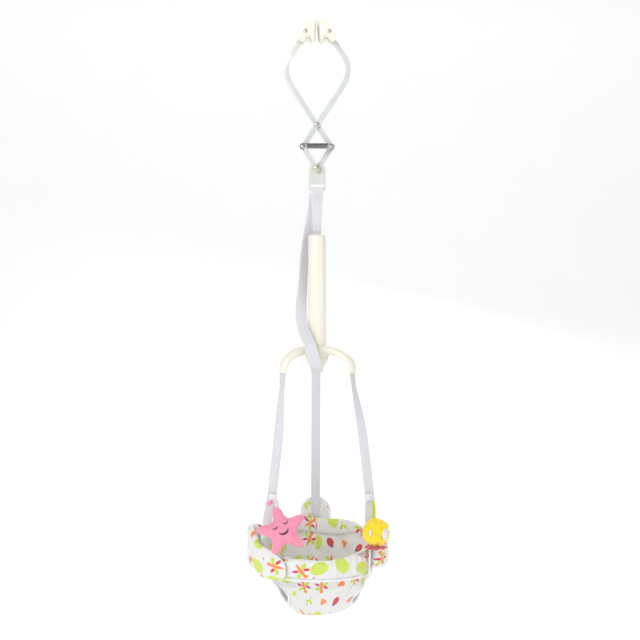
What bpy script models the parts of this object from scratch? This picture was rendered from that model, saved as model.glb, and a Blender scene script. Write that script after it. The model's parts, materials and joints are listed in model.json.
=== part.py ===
"""Doorway activity jumper: a spring clamp, a bounce spring in a tube, a yoke, straps, a seat and toys.

Metres. +Z is up, +X runs across the clamp and +Y points to the back of the seat.
The origin lies midway between the gripping faces of the clamp's two jaws.
"""
import math

import bpy
import bmesh
from mathutils import Vector

GAP = 0.0003                 # clearance between pieces that touch

# Clamp: two crossed arms and two links form an equal-sided linkage below the pivot
PIVOT_Z = -0.1895
LINK_LENGTH = 0.0541
LINK_ANGLE = math.radians(33.5)
BAR_WIDTH = 0.011
BAR_THICK = 0.003
ARM_BEND = 0.0751            # how far out each arm's bend lies
ARM_BEND_Z = -0.076
JAW_PIN_X = 0.024
JAW_PIN_Z = -0.0030
JAW_DEPTH = 0.050
JAW_SLOT = 0.0078
JAW_SLOT_TOP = 0.008
GRIP_THICK = 0.002
GRIP_TOP = (0.0013, 0.018)   # inner face of a grip: half gap and height at its top
GRIP_FOOT = (0.0030, -0.012)
SHANK = 0.0025
CLAMP_SPRING_RADIUS = 0.0048
CLAMP_SPRING_HALF = 0.0150
CLAMP_WIRE = 0.0008

# Hanger plate on the lower rivet, with a slot and a bar for the webbing
HANGER_HALF = 0.0175
HANGER_RISE = 0.009
HANGER_FOOT = -0.3245
HANGER_BAR_Z = -0.3220
HANGER_BAR_HALF = 0.0025
SLOT_TOP = -0.3117

# Webbing
WEB_WIDTH = 0.025
WEB_THICK = 0.0014
STRAP_WIDTH = 0.020
STRAP_THICK = 0.0012
STRAP_LANDINGS = {"left": 211.0, "right": 329.0}             # where the side straps meet the seat, degrees
STRAP_OFFSET = 0.0045                                        # and how far outside its rim

# Bounce spring and its tube
TUBE_TOP = -0.4185
TUBE_FOOT = -0.6650
TUBE_TOP_RADIUS = 0.0180
TUBE_FOOT_RADIUS = 0.0198
TUBE_WALL = 0.0022
RING_Z = -0.5350             # bar of the D ring that joins the webbing to the spring
RING_DROP = 0.016
ANCHOR_Z = -0.6520
SPRING_RADIUS = 0.0098
SPRING_WIRE = 0.0011
SPRING_TURNS = 13

# Yoke: three arms that spread the straps
HUB_TOP = -0.6430
HUB_FOOT = -0.6680
YOKE_REACH = 0.0800
YOKE_END_Z = -0.6980
STRAP_PIN_Z = -0.6910
YOKE_DIRECTIONS = {"left": 210.0, "right": 330.0, "back": 90.0}
FUNNEL_FOOT = -0.6970

# Seat: its rim is an ellipse
RIM_X = 0.116
RIM_Y = 0.112
RIM_BACK_Z = -1.0240
RIM_FRONT_Z = -1.0520
SEAT_WALL = 0.005
LEG_HOLE_RADIUS = 0.043
LEG_HOLE_Y = -0.030
LEG_HOLE_Z = -1.1300
CROTCH_HALF = 0.062

# Toys
STAR_RADIUS = 0.049
STAR_THICK = 0.022
STAR_CENTRE = (-0.068, -0.090, -1.004)
STAR_PIVOT = (-0.0860, -0.0680, -0.9530)
STAR_TURN = math.radians(107)
BALL_RADIUS = 0.028
BALL_CENTRE = (0.113, -0.100, -1.007)
BALL_PIVOT = (0.1020, -0.0640, -0.9560)

FINISHES = {                 # colour, roughness, metallic
    "painted steel": ((0.80, 0.82, 0.79), 0.35, 0.1),
    "ivory plastic": ((0.86, 0.83, 0.71), 0.35, 0.0),
    "grip rubber": ((0.78, 0.76, 0.68), 0.80, 0.0),
    "nickel": ((0.62, 0.60, 0.56), 0.25, 1.0),
    "zinc wire": ((0.38, 0.39, 0.40), 0.40, 1.0),
    "brass": ((0.82, 0.74, 0.52), 0.35, 0.8),
    "webbing": ((0.86, 0.86, 0.90), 0.90, 0.0),
    "printed cotton": ((0.88, 0.88, 0.86), 0.90, 0.0),
    "pink plush": ((0.90, 0.30, 0.42), 0.95, 0.0),
    "yellow plush": ((0.95, 0.80, 0.08), 0.95, 0.0),
    "lime ribbon": ((0.66, 0.80, 0.12), 0.70, 0.0),
    "crimson felt": ((0.60, 0.04, 0.10), 0.90, 0.0),
}


def clear_scene():
    for obj in list(bpy.data.objects):
        bpy.data.objects.remove(obj, do_unlink=True)


def finish_material(name, finish):
    colour, roughness, metallic = FINISHES[finish]
    material = bpy.data.materials.new(name + "_finish")
    material.use_nodes = True
    shader = material.node_tree.nodes["Principled BSDF"]
    shader.inputs["Base Color"].default_value = (*colour, 1.0)
    shader.inputs["Roughness"].default_value = roughness
    shader.inputs["Metallic"].default_value = metallic
    return material


def joint_empty(name, place, parent=None):
    """An empty on a joint's axis, placed in world coordinates."""
    empty = bpy.data.objects.new(name, None)
    bpy.context.collection.objects.link(empty)
    empty.empty_display_size = 0.01
    empty["place"] = place
    empty.parent = parent
    base = Vector(parent["place"]) if parent else Vector((0, 0, 0))
    empty.location = Vector(place) - base
    return empty


def make_object(name, verts, faces, finish, joint):
    """One closed piece, given in world coordinates, that moves with its joint's empty."""
    base = Vector(joint["place"]) if joint else Vector((0, 0, 0))
    bm = bmesh.new()
    points = [bm.verts.new(Vector(v) - base) for v in verts]
    for face in faces:
        bm.faces.new([points[i] for i in face])
    bmesh.ops.recalc_face_normals(bm, faces=bm.faces)
    mesh = bpy.data.meshes.new(name)
    bm.to_mesh(mesh)
    bm.free()
    mesh.shade_smooth()
    mesh.set_sharp_from_angle(angle=math.radians(35))
    obj = bpy.data.objects.new(name, mesh)
    bpy.context.collection.objects.link(obj)
    obj.parent = joint
    if finish:
        mesh.materials.append(finish_material(name, finish))
    return obj


def combine(obj, tool, operation):
    """Cut, or join, a hidden tool object to a piece."""
    tool.hide_render = True
    tool.display_type = "WIRE"
    modifier = obj.modifiers.new(operation.lower(), "BOOLEAN")
    modifier.operation = operation
    modifier.solver = "EXACT"
    modifier.object = tool


def frame_of(direction):
    """A rotation whose Z axis is the given direction."""
    return Vector(direction).to_track_quat("Z", "Y").to_matrix()


def ring_faces(rings, sides, closed):
    faces = []
    for a in range(rings if closed else rings - 1):
        b = (a + 1) % rings
        for i in range(sides):
            j = (i + 1) % sides
            faces.append((a * sides + i, a * sides + j, b * sides + j, b * sides + i))
    return faces


def loft(name, rings, finish, joint, closed=False):
    """A skin over equal rings of points, with flat ends unless the rings close on themselves."""
    sides = len(rings[0])
    verts = [v for ring in rings for v in ring]
    faces = ring_faces(len(rings), sides, closed)
    if not closed:
        faces.append(tuple(range(sides)))
        faces.append(tuple(len(verts) - sides + i for i in range(sides)))
    return make_object(name, verts, faces, finish, joint)


def revolve(name, profile, centre, direction, finish, joint, sides=24, hollow=False):
    """A turned piece: profile points are (radius, height along the axis)."""
    turn = frame_of(direction)
    rings = []
    for radius, height in profile:
        ring = []
        for i in range(sides):
            a = 2 * math.pi * i / sides
            local = Vector((radius * math.cos(a), radius * math.sin(a), height))
            ring.append(Vector(centre) + turn @ local)
        rings.append(ring)
    return loft(name, rings, finish, joint, closed=hollow)


def extrude(name, outline, low, high, finish, joint):
    """A plate parallel to XZ between two Y values."""
    rings = [[(x, y, z) for x, z in outline] for y in (low, high)]
    return loft(name, rings, finish, joint)


def arc(cx, cz, radius, start, stop, steps):
    """Points on a circle, angles in degrees."""
    points = []
    for i in range(steps + 1):
        a = math.radians(start + (stop - start) * i / steps)
        points.append((cx + radius * math.cos(a), cz + radius * math.sin(a)))
    return points


def bar_outline(line, width):
    """The outline of a flat bar with round ends along a line of XZ points."""
    line = [Vector(p) for p in line]
    half = width / 2
    left, right = [], []
    for i, point in enumerate(line):
        ahead = line[min(i + 1, len(line) - 1)] - line[max(i - 1, 0)]
        side = Vector((-ahead.y, ahead.x)).normalized() * half
        left.append(point + side)
        right.append(point - side)
    outline = list(left)
    for end, towards, rail in ((line[-1], line[-1] - line[-2], right[::-1]), (line[0], line[0] - line[1], [])):
        heading = math.degrees(math.atan2(towards.y, towards.x))
        outline += [Vector(p) for p in arc(end.x, end.y, half, heading + 90, heading - 90, 8)[1:-1]]
        outline += rail
    return outline


def drill(obj, centre, direction, radius, length, sides=20):
    profile = [(radius, -length / 2), (radius, length / 2)]
    hole = revolve(obj.name + "_drill", profile, centre, direction, None, None, sides)
    combine(obj, hole, "DIFFERENCE")


def box(name, low, high, finish=None, joint=None):
    rings = []
    for z in (low[2], high[2]):
        rings.append([(low[0], low[1], z), (high[0], low[1], z), (high[0], high[1], z), (low[0], high[1], z)])
    return loft(name, rings, finish, joint)


def between(values, share):
    """A value that far along a list of evenly spaced ones."""
    place = share * (len(values) - 1)
    low = min(int(place), max(0, len(values) - 2))
    high = min(low + 1, len(values) - 1)
    return values[low] + (values[high] - values[low]) * (place - low)


def ribbon(name, path, across, widths, thick, finish, joint, hold=0, settle=0):
    """Flat webbing along a path. Its width and width direction follow their lists between the first,
    held points and the last, settled ones."""
    across = [Vector(direction) for direction in across]
    path = [Vector(p) for p in path]
    rings = []
    for i, point in enumerate(path):
        share = min(1, max(0, i - hold) / (len(path) - 1 - hold - settle))
        along = (path[min(i + 1, len(path) - 1)] - path[max(i - 1, 0)]).normalized()
        wide = between(across, share)
        wide = (wide - along * wide.dot(along)).normalized()
        deep = along.cross(wide) * thick / 2
        half = wide * between(widths, share) / 2
        rings.append([point - half - deep, point + half - deep, point + half + deep, point - half + deep])
    return loft(name, rings, finish, joint)


def wire(name, path, radius, finish, joint, sides=6, closed=False):
    """A round wire along a path of points."""
    path = [Vector(p) for p in path]
    count = len(path)
    rings = []
    up = Vector((0.13, 0.97, 0.2))
    for i, point in enumerate(path):
        after = path[(i + 1) % count] if closed else path[min(i + 1, count - 1)]
        before = path[i - 1] if closed else path[max(i - 1, 0)]
        along = (after - before).normalized()
        up = (up - along * up.dot(along)).normalized()
        over = along.cross(up)
        turn = [2 * math.pi * k / sides for k in range(sides)]
        rings.append([point + (up * math.cos(a) + over * math.sin(a)) * radius for a in turn])
    return loft(name, rings, finish, joint, closed)


def spline(points, steps):
    """A smooth curve through the points, with a number of steps between each two."""
    points = [Vector(p) for p in points]
    ends = [points[0] * 2 - points[1]] + points + [points[-1] * 2 - points[-2]]
    curve = []
    for i in range(1, len(ends) - 2):
        a, b, c, d = ends[i - 1:i + 3]
        for k in range(steps):
            t = k / steps
            curve.append(0.5 * (2 * b + (c - a) * t + (2 * a - 5 * b + 4 * c - d) * t ** 2
                                + (3 * b - a - 3 * c + d) * t ** 3))
    return curve + [points[-1]]


def bevel(obj, width, segments=2):
    modifier = obj.modifiers.new("bevel", "BEVEL")
    modifier.width = width
    modifier.segments = segments
    modifier.limit_method = "ANGLE"
    modifier.angle_limit = math.radians(35)


def rivet(name, place, front, back, head, finish, joint, rise=0.002):
    """A rivet along Y: its shank runs from front to back, with a domed head past each end."""
    profile = [(head * 0.55, -rise), (head * 0.9, -rise * 0.6), (head, -0.0002), (head, 0.0)]
    length = back - front
    ends = [(r, length - h) for r, h in profile[::-1]]
    shank = [(SHANK, 0.0), (SHANK, length)]
    centre = (place[0], front, place[2])
    return revolve(name, profile + shank + ends, centre, (0, 1, 0), finish, joint, 20)


def eye(pin, away, side, radius, tail, spread):
    """A strap's end: up from its sewn tail, round a pin, and off along away."""
    pin, away, side = Vector(pin), Vector(away).normalized(), Vector(side).normalized()
    path = [pin + away * (3 * radius + (tail - 3 * radius) * k / 3) + side * spread for k in (3, 2, 1, 0)]
    for i in range(13):
        a = math.radians(-25 + 230 * i / 12)
        path.append(pin + (side * math.cos(a) - away * math.sin(a)) * radius)
    path.append(pin + away * 3 * radius - side * spread)
    return path


def direction_of(angle, radius=1.0, z=0.0):
    a = math.radians(angle)
    return Vector((radius * math.cos(a), radius * math.sin(a), z))


# Joint axes of the clamp
lean = Vector((math.sin(LINK_ANGLE), 0, -math.cos(LINK_ANGLE))) * LINK_LENGTH
PIVOT = Vector((0, 0, PIVOT_Z))
SIDE_PIN = {"left": PIVOT + Vector((-lean.x, 0, lean.z)), "right": PIVOT + lean}
LOWER_PIN = PIVOT + Vector((0, 0, 2 * lean.z))
JAW_PIN = {"left": Vector((-JAW_PIN_X, 0, JAW_PIN_Z)), "right": Vector((JAW_PIN_X, 0, JAW_PIN_Z))}
SIGN = {"left": -1, "right": 1}
ARM_LAYER = {"right": -GAP - BAR_THICK, "left": GAP}         # front face of each arm
LINK_LAYER = {"left": -2 * (GAP + BAR_THICK), "right": 2 * GAP + BAR_THICK}
STACK = 2 * (GAP + BAR_THICK)                                # outer face of the links
HOOK_ROOM = 0.0029                                           # shank left free for a spring hook


def build_clamp(root):
    joints = {}
    heads = GAP + BAR_THICK + GAP
    rivet("clamp_pivot_rivet", PIVOT, -heads, heads, 0.0055, "nickel", root)
    for side in ("left", "right"):
        joints["arm_" + side] = joint_empty("arm_" + side + "_joint", PIVOT, root)
    for side, other in (("left", "right"), ("right", "left")):
        build_arm(side, SIDE_PIN[other], joints["arm_" + side])
        joints["jaw_" + side] = joint_empty("jaw_" + side + "_joint", JAW_PIN[side], joints["arm_" + side])
        build_jaw(side, joints["jaw_" + side])
        joints["link_" + side] = joint_empty("link_" + side + "_joint", SIDE_PIN[side], joints["arm_" + other])
        build_link(side, joints["link_" + side])
    rivet("side_rivet_left", SIDE_PIN["left"], -STACK - GAP, HOOK_ROOM, 0.0048, "nickel", joints["arm_right"])
    rivet("side_rivet_right", SIDE_PIN["right"], -HOOK_ROOM, STACK + GAP, 0.0048, "nickel", joints["arm_left"])
    joints["lower"] = joint_empty("lower_rivet_joint", LOWER_PIN, joints["link_right"])
    washer_face = -STACK - GAP
    rivet("lower_rivet", LOWER_PIN, washer_face - 0.0015, STACK + GAP, 0.0052, "nickel", joints["lower"])
    profile = [(SHANK + GAP, -0.0012), (0.0068, -0.0012), (0.0072, 0.0), (SHANK + GAP, 0.0)]
    revolve("lower_washer", profile, (0, washer_face, LOWER_PIN.z), (0, 1, 0), "brass", joints["lower"],
            24, hollow=True)
    build_clamp_spring(joints["arm_right"])
    return joints


def build_arm(side, side_pin, joint):
    sign = SIGN[side]
    bend_start = Vector((0.0538, -0.0454))
    bend_end = Vector((ARM_BEND, ARM_BEND_Z)).lerp(Vector((0, PIVOT_Z)), 0.33)
    bend = Vector((ARM_BEND, ARM_BEND_Z))
    line = [Vector((JAW_PIN_X, JAW_PIN_Z))]
    for i in range(11):
        t = i / 10
        line.append(bend_start.lerp(bend, t).lerp(bend.lerp(bend_end, t), t))
    line.append(Vector((sign * side_pin.x, side_pin.z)))
    outline = [(sign * p.x, p.y) for p in bar_outline(line, BAR_WIDTH)]
    layer = ARM_LAYER[side]
    arm = extrude("arm_" + side, outline, layer, layer + BAR_THICK, "painted steel", joint)
    for pin in (JAW_PIN[side], PIVOT, side_pin):
        drill(arm, pin, (0, 1, 0), SHANK + GAP, 0.02)


def build_link(side, joint):
    ends = [(SIDE_PIN[side].x, SIDE_PIN[side].z), (LOWER_PIN.x, LOWER_PIN.z)]
    layer = LINK_LAYER[side]
    link = extrude("link_" + side, bar_outline(ends, BAR_WIDTH), layer, layer + BAR_THICK,
                   "painted steel", joint)
    for pin in (SIDE_PIN[side], LOWER_PIN):
        drill(link, pin, (0, 1, 0), SHANK + GAP, 0.03)


def build_jaw(side, joint):
    """A moulded jaw: a sloping back, two lobes below with an arch between, and a slot for its arm."""
    sign = SIGN[side]
    face = GRIP_THICK + GAP
    lip = [(0.0395, -0.0165), (0.0345, -0.0205), (0.0290, -0.0200), (0.0250, -0.0155)]
    arch = [(0.0215, -0.0110), (0.0170, -0.0098), (0.0140, -0.0125)]
    toe = [(0.0125, -0.0165), (0.0100, -0.0190), (0.0072, -0.0188), (GRIP_FOOT[0] + face + 0.0003, -0.0140)]
    crown = [(GRIP_TOP[0] + face, 0.0186), (0.0058, 0.0208), (0.0105, 0.0216), (0.0180, 0.0190)]
    slope = [(0.0260, 0.0115), (0.0335, 0.0010), (0.0390, -0.0080), (0.0410, -0.0125)]
    outline = [(sign * x, z) for x, z in crown + slope + lip + arch + toe]
    half = JAW_DEPTH / 2
    jaw = extrude("jaw_" + side, outline, -half, half, "ivory plastic", joint)
    bevel(jaw, 0.0016)
    slot_x = sorted((sign * 0.0095, sign * 0.060))
    slot = box("jaw_slot_" + side, (slot_x[0], -JAW_SLOT / 2, -0.040), (slot_x[1], JAW_SLOT / 2, JAW_SLOT_TOP))
    combine(jaw, slot, "DIFFERENCE")
    drill(jaw, JAW_PIN[side], (0, 1, 0), SHANK + GAP, 0.08)
    back = [(GRIP_FOOT[0] + GRIP_THICK, GRIP_FOOT[1]), (GRIP_TOP[0] + GRIP_THICK, GRIP_TOP[1])]
    pad = [(sign * x, z) for x, z in [GRIP_TOP, GRIP_FOOT] + back]
    extrude("jaw_grip_" + side, pad, -half + 0.002, half - 0.002, "grip rubber", joint)
    rivet("jaw_pin_" + side, JAW_PIN[side], -half - GAP, half + GAP, 0.0042, "nickel", joint, 0.0016)


def build_clamp_spring(joint):
    """An extension spring between the side rivets: hooks round their shanks."""
    z = SIDE_PIN["left"].z
    hook_radius = SHANK + CLAMP_WIRE + 0.0006
    for side, name, joined in (("left", "clamp_spring", True), ("right", "clamp_spring_hook", False)):
        sign = SIGN[side]
        depth = -sign * HOOK_ROOM * 0.55
        pin = SIDE_PIN[side]
        path = [(pin.x + sign * hook_radius * math.cos(math.radians(a)), depth,
                 z + hook_radius * math.sin(math.radians(a))) for a in range(-120, 121, 20)]
        path.append((sign * (CLAMP_SPRING_HALF + 0.004), depth * 0.5, z + 0.0012))
        if joined:
            steps = 9 * 10
            for i in range(steps + 1):
                a = math.radians(90) + 2 * math.pi * 9 * i / steps
                x = sign * CLAMP_SPRING_HALF * (1 - 2 * i / steps)
                path.append((x, CLAMP_SPRING_RADIUS * math.cos(a), z + CLAMP_SPRING_RADIUS * math.sin(a)))
        else:
            path.append((sign * (CLAMP_SPRING_HALF + 0.0014), 0, z + CLAMP_SPRING_RADIUS * 0.8))
        wire(name, path, CLAMP_WIRE, "zinc wire", joint, 5)


def build_hanger(joint):
    top = LOWER_PIN.z + HANGER_RISE
    corner = 0.009
    outline = arc(-HANGER_HALF + corner, top - corner, corner, 180, 90, 5)
    outline += arc(HANGER_HALF - corner, top - corner, corner, 90, 0, 5)
    foot = 0.003
    outline += arc(HANGER_HALF - foot, HANGER_FOOT + foot, foot, 0, -90, 3)
    outline += arc(-HANGER_HALF + foot, HANGER_FOOT + foot, foot, -90, -180, 3)
    plate = extrude("hanger_plate", outline, -0.001, 0.001, "painted steel", joint)
    for side in ("left", "right"):
        x = sorted((SIGN[side] * (HANGER_HALF - 0.0014), SIGN[side] * (HANGER_HALF - 0.0001)))
        flange = box("hanger_flange_" + side, (x[0], -0.0005, -0.3080), (x[1], 0.0032, top - 0.012))
        combine(plate, flange, "UNION")
    bar_top = HANGER_BAR_Z + HANGER_BAR_HALF
    slot = box("hanger_slot", (-0.0140, -0.01, bar_top), (0.0140, 0.01, SLOT_TOP))
    combine(plate, slot, "DIFFERENCE")
    drill(plate, LOWER_PIN, (0, 1, 0), SHANK + GAP, 0.02)


def build_upper_strap(joint):
    """Webbing from the hanger's bar down to the D ring, looped and sewn at both ends."""
    layer = 0.00095
    top = eye((0, 0, HANGER_BAR_Z), (0, 0, -1), (0, 1, 0), 0.0037, 0.030, layer)
    foot = eye((0, 0, RING_Z), (0, 0, 1), (0, 1, 0), 0.0029, 0.040, layer)
    start, stop = top[-1], foot[-1]
    middle = [start.lerp(stop, k / 8) for k in range(1, 8)]
    path = top + middle + foot[::-1]
    ribbon("upper_strap", path, [(1, 0, 0)], [WEB_WIDTH, 0.0175], WEB_THICK, "webbing", joint,
           len(top), len(foot))
    half, drop = 0.0110, 0.0025
    ring = [(-half * 0.87 + half * 1.74 * k / 6, 0, RING_Z) for k in range(7)]
    for i in range(13):
        a = math.pi * i / 12
        ring.append((half * math.cos(a), 0, RING_Z - drop - (RING_DROP - drop) * math.sin(a)))
    wire("strap_d_ring", ring, 0.0012, "nickel", joint, 8, closed=True)


def build_bounce(strap_joint, joint):
    foot = TUBE_FOOT
    profile = [(TUBE_TOP_RADIUS, TUBE_TOP), (TUBE_FOOT_RADIUS, foot),
               (TUBE_FOOT_RADIUS - TUBE_WALL, foot), (TUBE_TOP_RADIUS - TUBE_WALL, TUBE_TOP)]
    tube = revolve("spring_tube", profile, (0, 0, 0), (0, 0, 1), "ivory plastic", joint, 32, hollow=True)
    drill(tube, (0, 0, ANCHOR_Z), (1, 0, 0), 0.0021, 0.06, 12)
    inner = TUBE_TOP_RADIUS - TUBE_WALL - GAP
    profile = [(0.0138, TUBE_TOP - 0.0080), (0.0138, TUBE_TOP + 0.0016), (0.0150, TUBE_TOP + 0.0026),
               (TUBE_TOP_RADIUS - 0.0006, TUBE_TOP + 0.0024), (TUBE_TOP_RADIUS, TUBE_TOP + 0.0016),
               (TUBE_TOP_RADIUS, TUBE_TOP + GAP), (inner, TUBE_TOP + GAP), (inner, TUBE_TOP - 0.0080)]
    revolve("tube_cap", profile, (0, 0, 0), (0, 0, 1), "ivory plastic", joint, 32, hollow=True)
    profile = [(0.0018, -0.0189), (0.0018, 0.0189)]
    revolve("spring_anchor_pin", profile, (0, 0, ANCHOR_Z), (1, 0, 0), "nickel", joint, 12)
    ring_foot = RING_Z - RING_DROP
    hook = 0.0034
    coil_top, coil_foot = ring_foot - 0.012, ANCHOR_Z + 0.012
    path = []
    for i in range(11):
        a = math.radians(-50 + 270 * i / 10)
        path.append((0, hook * math.cos(a), ring_foot + hook * math.sin(a)))
    path.append((0, 0, ring_foot - 0.0085))
    steps = SPRING_TURNS * 12
    for i in range(steps + 1):
        a = 2 * math.pi * i / 12
        z = coil_top + (coil_foot - coil_top) * i / steps
        path.append((SPRING_RADIUS * math.cos(a), SPRING_RADIUS * math.sin(a), z))
    path.append((0, 0, ANCHOR_Z + 0.0085))
    for i in range(11):
        a = math.radians(140 + 270 * i / 10)
        path.append((0, hook * math.cos(a), ANCHOR_Z + hook * math.sin(a)))
    wire("bounce_spring", path, SPRING_WIRE, "zinc wire", strap_joint, 5)


def build_yoke(joint):
    """A hub under the tube with three drooping arms, each with a pocket for a strap and its pin."""
    profile = [(0.0205, HUB_TOP), (0.0222, HUB_TOP - 0.002), (0.0238, -0.6640), (0.0238, HUB_FOOT)]
    yoke = revolve("yoke", profile, (0, 0, 0), (0, 0, 1), "ivory plastic", joint, 32)
    for side, angle in YOKE_DIRECTIONS.items():
        out, across = direction_of(angle), direction_of(angle + 90)
        line = spline([(0.014, 0, -0.6560), (0.034, 0, -0.6535), (0.056, 0, -0.6600),
                       (0.0715, 0, -0.6710), (YOKE_REACH, 0, -0.6850), (YOKE_REACH + 0.001, 0, YOKE_END_Z)], 2)
        rings = []
        for i, point in enumerate(line):
            share = i / (len(line) - 1)
            along = (line[min(i + 1, len(line) - 1)] - line[max(i - 1, 0)]).normalized()
            lift = Vector((-along.z, 0, along.x)) * (0.0112 - 0.0048 * share)
            ring = []
            for k in range(14):
                a = 2 * math.pi * k / 14
                local = point + lift * math.sin(a)
                ring.append(out * local.x + across * (0.0140 * math.cos(a)) + Vector((0, 0, local.z)))
            rings.append(ring)
        combine(yoke, loft("yoke_arm_" + side, rings, None, None), "UNION")
    drill_from = Vector((0, 0, (HUB_TOP + 0.01 + TUBE_FOOT - GAP) / 2))
    drill(yoke, drill_from, (0, 0, 1), TUBE_FOOT_RADIUS + GAP, HUB_TOP + 0.01 - TUBE_FOOT + GAP, 32)
    drill(yoke, (0, 0, HUB_FOOT), (0, 0, 1), 0.009, 0.02)
    for side, angle in YOKE_DIRECTIONS.items():
        out, across = direction_of(angle), direction_of(angle + 90)
        drill(yoke, strap_pin(side), across, 0.0017, 0.0250, 12)
        pocket = []
        for z in (YOKE_END_Z - 0.006, STRAP_PIN_Z + 0.0055):
            pocket.append([out * (YOKE_REACH + a) + across * b + Vector((0, 0, z))
                           for a, b in ((-0.0037, -0.0108), (0.0037, -0.0108), (0.0037, 0.0108),
                                        (-0.0037, 0.0108))])
        combine(yoke, loft("yoke_pocket_" + side, pocket, None, None), "DIFFERENCE")
        profile = [(0.0014, -0.0120), (0.0014, 0.0120)]
        revolve("strap_pin_" + side, profile, strap_pin(side), across, "nickel", joint, 12)
    profile = [(0.0236, HUB_FOOT - GAP), (0.0222, -0.6760), (0.0150, -0.6870), (0.0108, FUNNEL_FOOT),
               (0.0023, FUNNEL_FOOT), (0.0023, -0.6840), (0.0130, -0.6800), (0.0200, HUB_FOOT - GAP)]
    revolve("yoke_funnel", profile, (0, 0, 0), (0, 0, 1), "ivory plastic", joint, 32, hollow=True)


def strap_pin(side):
    return direction_of(YOKE_DIRECTIONS[side], YOKE_REACH, STRAP_PIN_Z)


def seat_end(side):
    """Where a side strap's sewn end lies against the seat, at height 0."""
    angle = math.radians(STRAP_LANDINGS[side])
    return Vector(((RIM_X + STRAP_OFFSET) * math.cos(angle), (RIM_Y + STRAP_OFFSET) * math.sin(angle), 0))


def build_straps(joint):
    for side in ("left", "right", "back"):
        angle = YOKE_DIRECTIONS[side]
        pin, out, across = strap_pin(side), direction_of(angle), direction_of(angle + 90)
        if side == "back":
            stops = [Vector((0, 0.1193, -0.9950)), Vector((0, 0.1193, -1.0190))]
            far_across = across
        else:
            foot = seat_end(side)
            stops = [foot + Vector((0, 0, -1.0050)), foot + Vector((0, 0, -1.0450))]
            far_across = Vector((SIGN[side] * -0.62, -0.78, 0)) * (-SIGN[side])
        away = (stops[0] - pin).normalized()
        lean_side = (out - away * out.dot(away)).normalized()
        end = eye(pin, away, lean_side, 0.0024, 0.026, 0.0009)
        rest = [end[-1].lerp(stops[0], k / 12) for k in range(1, 12)] + stops
        ribbon("strap_" + side, end + rest, [across, far_across], [STRAP_WIDTH], STRAP_THICK, "webbing",
               joint, len(end))


def build_safety_strap(strap_joint, joint):
    """A slack second strap. It starts behind the main strap, bows out beside the tube, crosses to
    the front above the yoke and is screwed under the funnel."""
    under = FUNNEL_FOOT - GAP - STRAP_THICK / 2
    route = [(-0.0040, 0.0056, -0.3300), (-0.0072, 0.0105, -0.3600), (-0.0140, 0.0150, -0.3950),
             (-0.0225, 0.0160, -0.4350), (-0.0272, 0.0110, -0.4800), (-0.0300, 0.0050, -0.5250),
             (-0.0330, -0.0040, -0.5650), (-0.0315, -0.0190, -0.5980), (-0.0225, -0.0340, -0.6260),
             (-0.0140, -0.0405, -0.6470), (-0.0060, -0.0390, -0.6750), (-0.0020, -0.0290, -0.6930),
             (0.0, -0.0150, under), (0.0, 0.0, under), (0.0, 0.0110, under)]
    turned = [(1, 0, 0), (1, 0.1, 0), (0.9, 0.4, 0), (0.75, 0.66, 0), (0.75, 0.66, 0), (0.8, 0.6, 0),
              (0.95, 0.3, 0)]
    across = turned + [(1, 0, 0)] * (len(route) - len(turned))
    strap = ribbon("safety_strap", spline(route, 3), across, [0.0240], STRAP_THICK, "webbing", strap_joint)
    drill(strap, (0, 0, under), (0, 0, 1), 0.0023, 0.006, 12)
    head = under - STRAP_THICK / 2 - GAP
    profile = [(0.0030, head - 0.0022), (0.0052, head - 0.0014), (0.0055, head), (0.0020, head),
               (0.0020, -0.6850)]
    revolve("safety_screw", profile, (0, 0, 0), (0, 0, 1), "nickel", joint, 20)


def rim_height(angle):
    """The seat's rim is higher at the back than at the front."""
    middle, swing = (RIM_BACK_Z + RIM_FRONT_Z) / 2, (RIM_BACK_Z - RIM_FRONT_Z) / 2
    return middle + swing * math.sin(angle)


def build_seat_sling(joint):
    """A cloth bucket: open at the top, with a leg hole at each side."""
    levels = [(0.046, 0.050, -1.1890), (0.061, 0.065, -1.1805), (0.078, 0.081, -1.1500),
              (0.104, 0.101, -1.1180), (0.114, 0.110, -1.0900), (RIM_X, RIM_Y, -1.0620)]
    count = 36

    def level(x, y, z, inset, lift):
        ring = []
        for i in range(count):
            a = 2 * math.pi * i / count
            height = (z if z is not None else rim_height(a)) + lift
            ring.append(((x - inset) * math.cos(a), (y - inset) * math.sin(a), height))
        return ring

    outer = [level(x, y, z, 0, 0) for x, y, z in levels] + [level(RIM_X, RIM_Y, None, 0, 0)]
    inner = [level(x, y, z, SEAT_WALL, SEAT_WALL * 0.8) for x, y, z in levels[:3]]
    inner += [level(x, y, z, SEAT_WALL, 0) for x, y, z in levels[3:]]
    inner.append(level(RIM_X, RIM_Y, None, SEAT_WALL, 0))
    sling = loft("seat_sling", outer + inner[::-1], "printed cotton", joint)
    for side in ("left", "right"):
        centre = (SIGN[side] * (CROTCH_HALF + 0.05), LEG_HOLE_Y, LEG_HOLE_Z)
        drill(sling, centre, (1, 0, 0), LEG_HOLE_RADIUS, 0.1, 24)


def ring_pad(name, middle, span, height, half_height, offset, half_thick, finish, joint, steps=14):
    """A padded band that follows the seat's rim from one angle to another."""
    rings = []
    for i in range(steps + 1):
        share = 2 * i / steps - 1
        a = math.radians(middle + span * share)
        taper = 1 - 0.30 * abs(share) ** 6
        centre = Vector(((RIM_X + offset) * math.cos(a), (RIM_Y + offset) * math.sin(a), height))
        out = Vector((math.cos(a) * RIM_Y, math.sin(a) * RIM_X, 0)).normalized()
        ring = []
        for k in range(12):
            b = 2 * math.pi * k / 12
            wide, tall = math.cos(b), math.sin(b)
            reach = out * (half_thick * math.copysign(abs(wide) ** 0.7, wide))
            rise = Vector((0, 0, half_height * taper * math.copysign(abs(tall) ** 0.7, tall)))
            ring.append(centre + reach * taper + rise)
        rings.append(ring)
    return loft(name, rings, finish, joint)


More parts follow.
